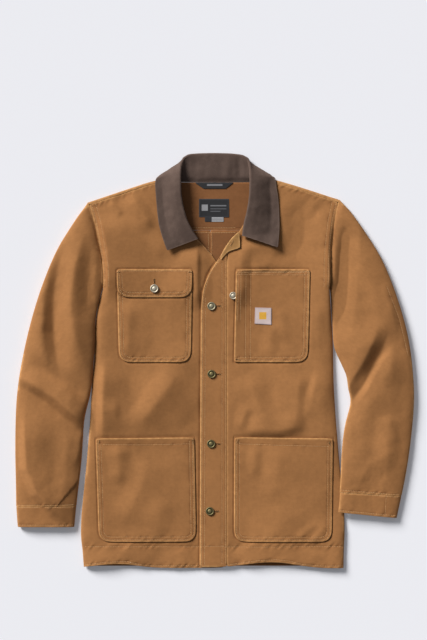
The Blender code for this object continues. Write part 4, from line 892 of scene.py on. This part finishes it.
# ---------------------------------------------------------------- labels, tape and patch
# Woven polyester: a black hang tape and a black label with a grey tab below it, sewn inside the yoke, and a
# pale square patch on the chest pocket. They carry plain woven bars and squares, a border and no lettering.
LABEL_BLACK = "#232427"
LABEL_GREY = "#8B8C90"
PATCH_PALE = "#C9B8B6"
WEFT_PITCH = 0.9            # mm; real damask has about 0.2 mm between threads, drawn coarser to show
Block = namedtuple("Block", "x0 x1 y0 y1 colour")


def woven_label(name, ground, border, blocks):
    """Fine damask weave: smooth, with a slight shine, a tighter border and plain woven blocks."""
    material, tree, shader = new_material(name)
    grain = cloth_grain(tree)
    parts = add_node(tree, "SeparateXYZ", {0: grain})
    angle = add_node(tree, "Math", {0: parts.outputs["Y"], 1: 2 * math.pi / WEFT_PITCH}, operation="MULTIPLY")
    weft = add_node(tree, "Math", {0: angle}, operation="SINE")
    grains = add_node(tree, "TexNoise", {"Vector": grain, "Scale": 1.4, "Detail": 2.0})
    tone = add_node(tree, "MapRange", {0: grains, 1: 0.3, 2: 0.7, 3: 0.86, 4: 1.14})
    rim = add_node(tree, "Attribute", attribute_name="wear").outputs["Fac"]
    base = add_node(tree, "MixRGB", {0: rim, 1: linear(ground), 2: linear(border)})
    for block in blocks:
        inside = 1.0
        for axis, low, high in (("X", block.x0, block.x1), ("Y", block.y0, block.y1)):
            middle = (low + high) / 2
            off = add_node(tree, "Math", {0: parts.outputs[axis], 1: middle}, operation="SUBTRACT")
            away = add_node(tree, "Math", {0: off}, operation="ABSOLUTE")
            within = add_node(tree, "Math", {0: (high - low) / 2, 1: away}, operation="SUBTRACT")
            share = add_node(tree, "Math", {0: within, 1: 3.0}, operation="MULTIPLY", use_clamp=True)
            inside = add_node(tree, "Math", {0: share, 1: inside}, operation="MULTIPLY")
        base = add_node(tree, "MixRGB", {0: inside, 1: base, 2: linear(block.colour)})
    colour = add_node(tree, "VectorMath", {0: base, "Scale": tone}, operation="SCALE")
    bump = add_node(tree, "Bump", {"Height": weft, "Strength": 0.3, "Distance": 0.12 * MM})
    fill(shader, {"Base Color": colour, "Normal": bump, "Roughness": 0.6, "Specular IOR Level": 0.35})
    return material


LABEL_BLOCKS = (Block(-27, -14, 307, 320, "#8F9094"), Block(-9, 24, 316, 319, "#6E6F74"),
                Block(-9, 24, 310, 312, "#5C5D62"), Block(-9, 12, 305, 307, "#5C5D62"))
TAPE_BLOCKS = (Block(-16, 16, 358, 362, "#7C7D82"),)
TAB_BLOCKS = (Block(-21, -6, 280, 296, "#2A2B2F"),)
PATCH_BLOCKS = (Block(91, 106, 84, 99, "#D8A43C"),)
label_black = woven_label("woven_polyester_black", LABEL_BLACK, "#3A3B40", LABEL_BLOCKS)
tape_black = woven_label("woven_polyester_tape", LABEL_BLACK, "#2E2F33", TAPE_BLOCKS)
label_grey = woven_label("woven_polyester_grey", LABEL_GREY, "#A9AAAE", TAB_BLOCKS)
patch_pale = woven_label("woven_polyester_pale", PATCH_PALE, "#AE9C9F", PATCH_BLOCKS)


def plain_relief(points):
    """A trim that lies flat."""
    return np.zeros(len(points)), np.zeros(len(points))


TRIMS = (
    ("neck_label", label_black, "label_cloth", (0.061, 0.038), "back_yoke_panel", plain_relief),
    ("size_tab", label_grey, "label_cloth", (0.038, 0.010), "back_yoke_panel", plain_relief),
    ("hang_tape", tape_black, "label_cloth", (0.078, 0.012), "back_yoke_panel", plain_relief),
    ("patch", patch_pale, "patch_cloth", (0.034, 0.035), "chest_pocket_left_panel", body_relief))
for node, finish, slot_name, size, under, relief in TRIMS:
    label = lay_cloth(node + "_woven", node, relief, (), finish, wear=1.0, wear_reach=1.6,
                      cell=2.5, edge=0, rounds=1)

# ---------------------------------------------------------------- stitching
# Plied polyester-cotton thread in a golden tan, paler and smoother than the cloth. Every row is a line of
# separate stitches, each a short tapered run of thread lying in the groove that it pulls into the cloth.
THREAD_TAN = "#D3A66F"
STITCH_PITCH = 3.4          # mm from one stitch to the next
STITCH_LENGTH = 2.6         # mm of thread that shows in a stitch
THREAD_WIDTH = 0.9          # mm; a real one is about 0.5 mm, drawn thicker to show
THREAD_RISE = 0.32          # mm that a stitch's middle stands above its ends
THREAD_ROUND = 0.26         # mm that its back stands above its two sides
THREAD_TAPER = 0.55         # of a stitch's length keeps its full width
LARGEST_STEP = 1.5          # mm between a stitch's ends, above which it isn't sewn
PLY_TURNS = 900.0           # turns of the plies in a metre of thread

thread, tree, shader = new_material("plied_thread_tan")
place = add_node(tree, "TexCoord").outputs["Object"]
twist = add_node(tree, "TexNoise", {"Vector": place, "Scale": PLY_TURNS, "Detail": 2.0})
tone = add_node(tree, "MapRange", {0: twist, 1: 0.3, 2: 0.7, 3: 0.8, 4: 1.15})
colour = add_node(tree, "VectorMath", {0: linear(THREAD_TAN)[:3], "Scale": tone}, operation="SCALE")
bump = add_node(tree, "Bump", {"Height": twist, "Strength": 0.4, "Distance": 0.1 * MM})
fill(shader, {"Base Color": colour, "Normal": bump, "Roughness": 0.6, "Sheen Weight": 0.2})


def top_surfaces(pieces):
    """What height_at searches: a tree of each piece's faces."""
    return [BVHTree.FromPolygons([vertex.co for vertex in piece.data.vertices],
                                 [list(face.vertices) for face in piece.data.polygons]) for piece in pieces]


def height_at(trees, x, y):
    """The highest cloth under a place in plan, in millimetres, and its normal."""
    best = None
    for tree in trees:
        place, normal, _, _ = tree.ray_cast(Vector((x * MM, y * MM, 0.2)), Vector((0, 0, -1)))
        if place is not None and (best is None or place.z > best[0].z):
            best = (place, normal)
    return best


def stitch_rows(name, paths, trees):
    """One mesh with every stitch of a group of rows, but none that would bridge a step in the cloth."""
    points = []
    faces = []
    for path in paths:
        line = resampled(path, STITCH_PITCH)
        for (ax, ay), (bx, by) in zip(line, line[1:]):
            run = math.hypot(bx - ax, by - ay)
            ux, uy = (bx - ax) / run, (by - ay) / run
            start = height_at(trees, ax, ay)
            end = height_at(trees, ax + ux * STITCH_LENGTH, ay + uy * STITCH_LENGTH)
            if start is None or end is None or abs(start[0].z - end[0].z) > LARGEST_STEP * MM:
                continue
            first, last = start[0], end[0]
            middle = (first + last) / 2 + start[1] * THREAD_RISE * MM
            side = start[1].cross((last - first).normalized()) * (THREAD_WIDTH / 2) * MM
            base = len(points)
            points.append(first - start[1] * 0.1 * MM)
            for tip in (first, last):
                top = middle + (tip - middle) * THREAD_TAPER + start[1] * 0.14 * MM
                points += [top - side, top + start[1] * THREAD_ROUND * MM, top + side]
            points.append(last - end[1] * 0.1 * MM)
            faces += [(base, base + 2, base + 1), (base, base + 3, base + 2),
                      (base + 1, base + 2, base + 5, base + 4), (base + 2, base + 3, base + 6, base + 5),
                      (base + 4, base + 5, base + 7), (base + 5, base + 6, base + 7),
                      (base, base + 1, base + 4, base + 7), (base, base + 7, base + 6, base + 3)]
    mesh = bpy.data.meshes.new(name)
    mesh.from_pydata([tuple(point) for point in points], [], faces)
    outside_out = bmesh.new()
    outside_out.from_mesh(mesh)
    bmesh.ops.recalc_face_normals(outside_out, faces=outside_out.faces)
    outside_out.to_mesh(mesh)
    outside_out.free()
    mesh.shade_smooth()
    mesh.materials.append(thread)
    piece = put_in_scene(name, mesh)
    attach(piece, "root")
    return piece


# A row with no groove is a seam, and one with no pucker is the dip beside an edge. Neither shows any thread.
body_top = top_surfaces(fronts + [placket, facing] + pockets)
stitch_rows("stitching_body", [row.path for row in body_rows if row.groove and row.pucker], body_top)
sleeve_top = top_surfaces([bpy.data.objects[name] for name in (
    "sleeve_right_upper", "sleeve_left_upper", "cuff_right_band", "cuff_left_band")])
stitch_rows("stitching_sleeves", [row.path for row in sleeve_rows if row.groove and row.pucker], sleeve_top)
back_top = top_surfaces(backs + [yoke])
NECK_ROWS = (((-62, 262), (45, 262)), ((-62, 272), (45, 272)),
             ((-5.5, 260), (-5.5, 200)), ((-13, 260), (-13, 200)))
stitch_rows("stitching_back_neck", NECK_ROWS, back_top)

# ---------------------------------------------------------------- buttonholes and bar tacks
# Close zigzag in the same thread, sewn over the finished cloth: a horizontal buttonhole beside each placket
# button, one each on the flap and the facing, and a bar tack at each pocket corner.
ZIGZAG_THREAD = 0.3         # mm, half the thread's width
ZIGZAG_LIFT = 0.35          # mm that the thread's middle lies above the cloth
HOLE_SIDE = 1.9             # mm, half a buttonhole's width
HOLE_STEP = 0.55            # mm from one thread of a buttonhole to the next
TACK_SIDE = 1.0             # mm, half a bar tack's width
TACK_STEP = 0.5             # mm from one thread of a bar tack to the next
Hole = namedtuple("Hole", "x y long turned")
BUTTONHOLES = (Hole(4.5, 112, 17, 0), Hole(4.5, -28, 17, 0), Hole(3.5, -171, 17, 0), Hole(1, -309, 17, 0),
               Hole(-124, 160, 15, 90), Hole(35, 240, 13, 62))
BAR_TACKS = (Hole(-237, -167, 9, 80), Hole(-45, -167, 9, 100), Hole(47, -165, 9, 80), Hole(235, -170, 9, 100),
             Hole(-197, 181, 8, 0), Hole(-50, 181, 8, 0), Hole(46, 3, 8, 0), Hole(192, 182, 8, 0))


def zigzag(hole, half_width, step):
    """The path of a close zigzag along a buttonhole's side or a bar tack."""
    turned = math.radians(hole.turned)
    ux, uy = math.cos(turned), math.sin(turned)
    path = []
    for k in range(int(hole.long / step) + 1):
        along = -hole.long / 2 + k * step
        side = half_width * (1 if k % 2 else -1)
        path.append((hole.x + along * ux - side * uy, hole.y + along * uy + side * ux))
    return path


dense_paths = [zigzag(hole, HOLE_SIDE, HOLE_STEP) for hole in BUTTONHOLES]
dense_paths += [zigzag(tack, TACK_SIDE, TACK_STEP) for tack in BAR_TACKS]
for number, path in enumerate(dense_paths):
    curve = bpy.data.curves.new("zigzag", "CURVE")
    curve.dimensions = "3D"
    curve.bevel_depth = ZIGZAG_THREAD * MM
    curve.bevel_resolution = 1
    line = curve.splines.new("POLY")
    places = [height_at(body_top, x, y) for x, y in path]
    places = [place for place in places if place]
    line.points.add(len(places) - 1)
    for point, (place, normal) in zip(line.points, places):
        point.co = (*(place + normal * ZIGZAG_LIFT * MM), 1)
    shown = put_in_scene("zigzag_curve", curve)
    mesh = bpy.data.meshes.new_from_object(shown.evaluated_get(bpy.context.evaluated_depsgraph_get()))
    bpy.data.objects.remove(shown)
    mesh.materials.clear()
    mesh.materials.append(thread)
    piece = put_in_scene("buttonhole_or_tack_%02d" % (number + 1), mesh)
    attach(piece, "root")

# ---------------------------------------------------------------- buttons
# Two-part tack buttons of stamped brass, 17 mm across: a rolled rim, a dished ring and a domed centre cap. On
# the placket they are blackened and rubbed bright on the rim; the two on the chest are plated pale.
Turn = namedtuple("Turn", "radius height")
BUTTON_PROFILE = (
    Turn(3.0, 0.0), Turn(3.0, 0.8), Turn(7.7, 0.85), Turn(8.2, 1.0), Turn(8.5, 1.45), Turn(8.45, 2.0),
    Turn(8.1, 2.5), Turn(7.5, 2.72), Turn(6.9, 2.6), Turn(6.5, 2.25), Turn(6.1, 2.0), Turn(4.9, 1.95),
    Turn(4.3, 2.0), Turn(4.0, 2.2), Turn(3.7, 2.55), Turn(3.1, 2.8), Turn(1.8, 2.95), Turn(0.6, 3.0))
BUTTON_ACROSS = 17.0        # mm
BUTTON_STEPS = 48
PLATING_GRAINS = 1600.0     # grains of the worn plating in a metre, about 0.6 mm each
RUBBED_FROM = 1.9           # mm above the cloth; everything higher is rubbed
RUBBED_OVER = 0.9           # mm above that, over which it comes to be fully rubbed


def plated_metal(name, dark, bright):
    """Stamped metal under a worn plating: smoother on the rubbed crowns, dull and grainy in the hollows."""
    material, tree, shader = new_material(name)
    place = add_node(tree, "TexCoord").outputs["Object"]
    grains = add_node(tree, "TexNoise", {"Vector": place, "Scale": PLATING_GRAINS, "Detail": 4.0})
    crowns = add_node(tree, "Attribute", attribute_name="crown").outputs["Fac"]
    mixed = add_node(tree, "Math", {0: grains, 1: crowns}, operation="MULTIPLY")
    share = add_node(tree, "MapRange", {0: mixed, 1: 0.1, 2: 0.5, 3: 0.0, 4: 1.0})
    colour = add_node(tree, "MixRGB", {0: share, 1: linear(dark), 2: linear(bright)})
    rough = add_node(tree, "MapRange", {0: share, 3: 0.68, 4: 0.54})
    bump = add_node(tree, "Bump", {"Height": grains, "Strength": 0.25, "Distance": 0.06 * MM})
    fill(shader, {"Base Color": colour, "Metallic": 1.0, "Roughness": rough, "Normal": bump})
    return material


blackened = plated_metal("stamped_brass_blackened", "#565037", "#9A9068")
rubbed_brass = plated_metal("stamped_brass_rubbed", "#857F6A", "#BBB49A")
plated = plated_metal("stamped_brass_plated_pale", "#AAA28E", "#DAD2C2")
BUTTONS = (("button_1", rubbed_brass), ("button_2", blackened), ("button_3", blackened),
           ("button_4", blackened), ("flap_button", plated), ("pocket_button", plated))
for node, finish in BUTTONS:
    low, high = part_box(node)
    centre = (low + high) / 2
    scale = (high.x - low.x) / (BUTTON_ACROSS * MM)
    disc = bmesh.new()
    crown = disc.verts.layers.float.new("crown")
    rings = []
    for turn in BUTTON_PROFILE:
        ring = []
        for k in range(BUTTON_STEPS):
            angle = 2 * math.pi * k / BUTTON_STEPS
            radius = turn.radius * scale * MM
            place = (radius * math.cos(angle), radius * math.sin(angle), turn.height * scale * MM)
            vertex = disc.verts.new(place)
            vertex[crown] = max(0.0, min(1.0, (turn.height - RUBBED_FROM) / RUBBED_OVER))
            ring.append(vertex)
        rings.append(ring)
    disc.faces.new(rings[0][::-1])
    for below, above in zip(rings, rings[1:]):
        for k in range(BUTTON_STEPS):
            onward = (k + 1) % BUTTON_STEPS
            disc.faces.new((below[k], below[onward], above[onward], above[k]))
    disc.faces.new(rings[-1])
    mesh = bpy.data.meshes.new(node + "_tack")
    disc.to_mesh(mesh)
    disc.free()
    mesh.shade_smooth()
    mesh.materials.append(finish)
    piece = put_in_scene(node + "_tack", mesh)
    seat = height_at(body_top, centre.x / MM, centre.y / MM)
    piece.location = (centre.x, centre.y, max(low.z, seat[0].z + 0.1 * MM))
    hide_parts(node)
    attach(piece, "root")

# ---------------------------------------------------------------- floor, light and camera
# A plain pale floor whose colour also glows a little as painted light, so its shadows stay faint and thin
# gaps don't turn black. One broad sun stands low at the upper left over a weak even sky, and the camera is
# straight above.
FLOOR_PALE = "#E2E4EB"
FLOOR_REACH = 40.0          # m from the middle to the floor's edge, past anything a low view shows
KEY_FROM = Vector((-0.63, 0.63, 0.454))
CAMERA_CENTRE = (-2.5, 82.8)    # mm, the place on the floor in the middle of the picture
CAMERA_HEIGHT = 3652.0      # mm
floor_painted_glow, tree, shader = new_material("pale_floor_painted_glow")
# painted light: the floor glows in its own colour, which pales its shadows and the thin gaps between pieces
fill(shader, {"Base Color": linear(FLOOR_PALE), "Emission Color": linear(FLOOR_PALE),
              "Emission Strength": 0.12, "Roughness": 0.95, "Specular IOR Level": 0.1})
mesh = bpy.data.meshes.new("floor")
corners = [(x * FLOOR_REACH, y * FLOOR_REACH, 0) for x, y in ((-1, -1), (1, -1), (1, 1), (-1, 1))]
mesh.from_pydata(corners, [], [(0, 1, 2, 3)])
mesh.materials.append(floor_painted_glow)
floor = put_in_scene("floor", mesh)
floor.location.z = -0.5 * MM

key = bpy.data.lights.new("key_upper_left", "SUN")
key.energy = 5.5
key.angle = math.radians(24)
key.color = linear("#FFFCF8")[:3]
stand = put_in_scene("key_upper_left", key)
stand.location = KEY_FROM * 3
stand.rotation_euler = KEY_FROM.to_track_quat("Z", "Y").to_euler()
world = bpy.data.worlds.new("studio")
world.use_nodes = True
fill(world.node_tree.nodes["Background"], {"Color": linear("#F2F4F8"), "Strength": 0.2})
bpy.context.scene.world = world
bpy.context.scene.view_settings.view_transform = "Standard"

camera = bpy.data.cameras.new("camera")
camera.lens = 100
camera.sensor_width = 36
camera.clip_end = 200
eye = put_in_scene("camera", camera)
eye.location = (CAMERA_CENTRE[0] * MM, CAMERA_CENTRE[1] * MM, CAMERA_HEIGHT * MM)
bpy.context.scene.camera = eye
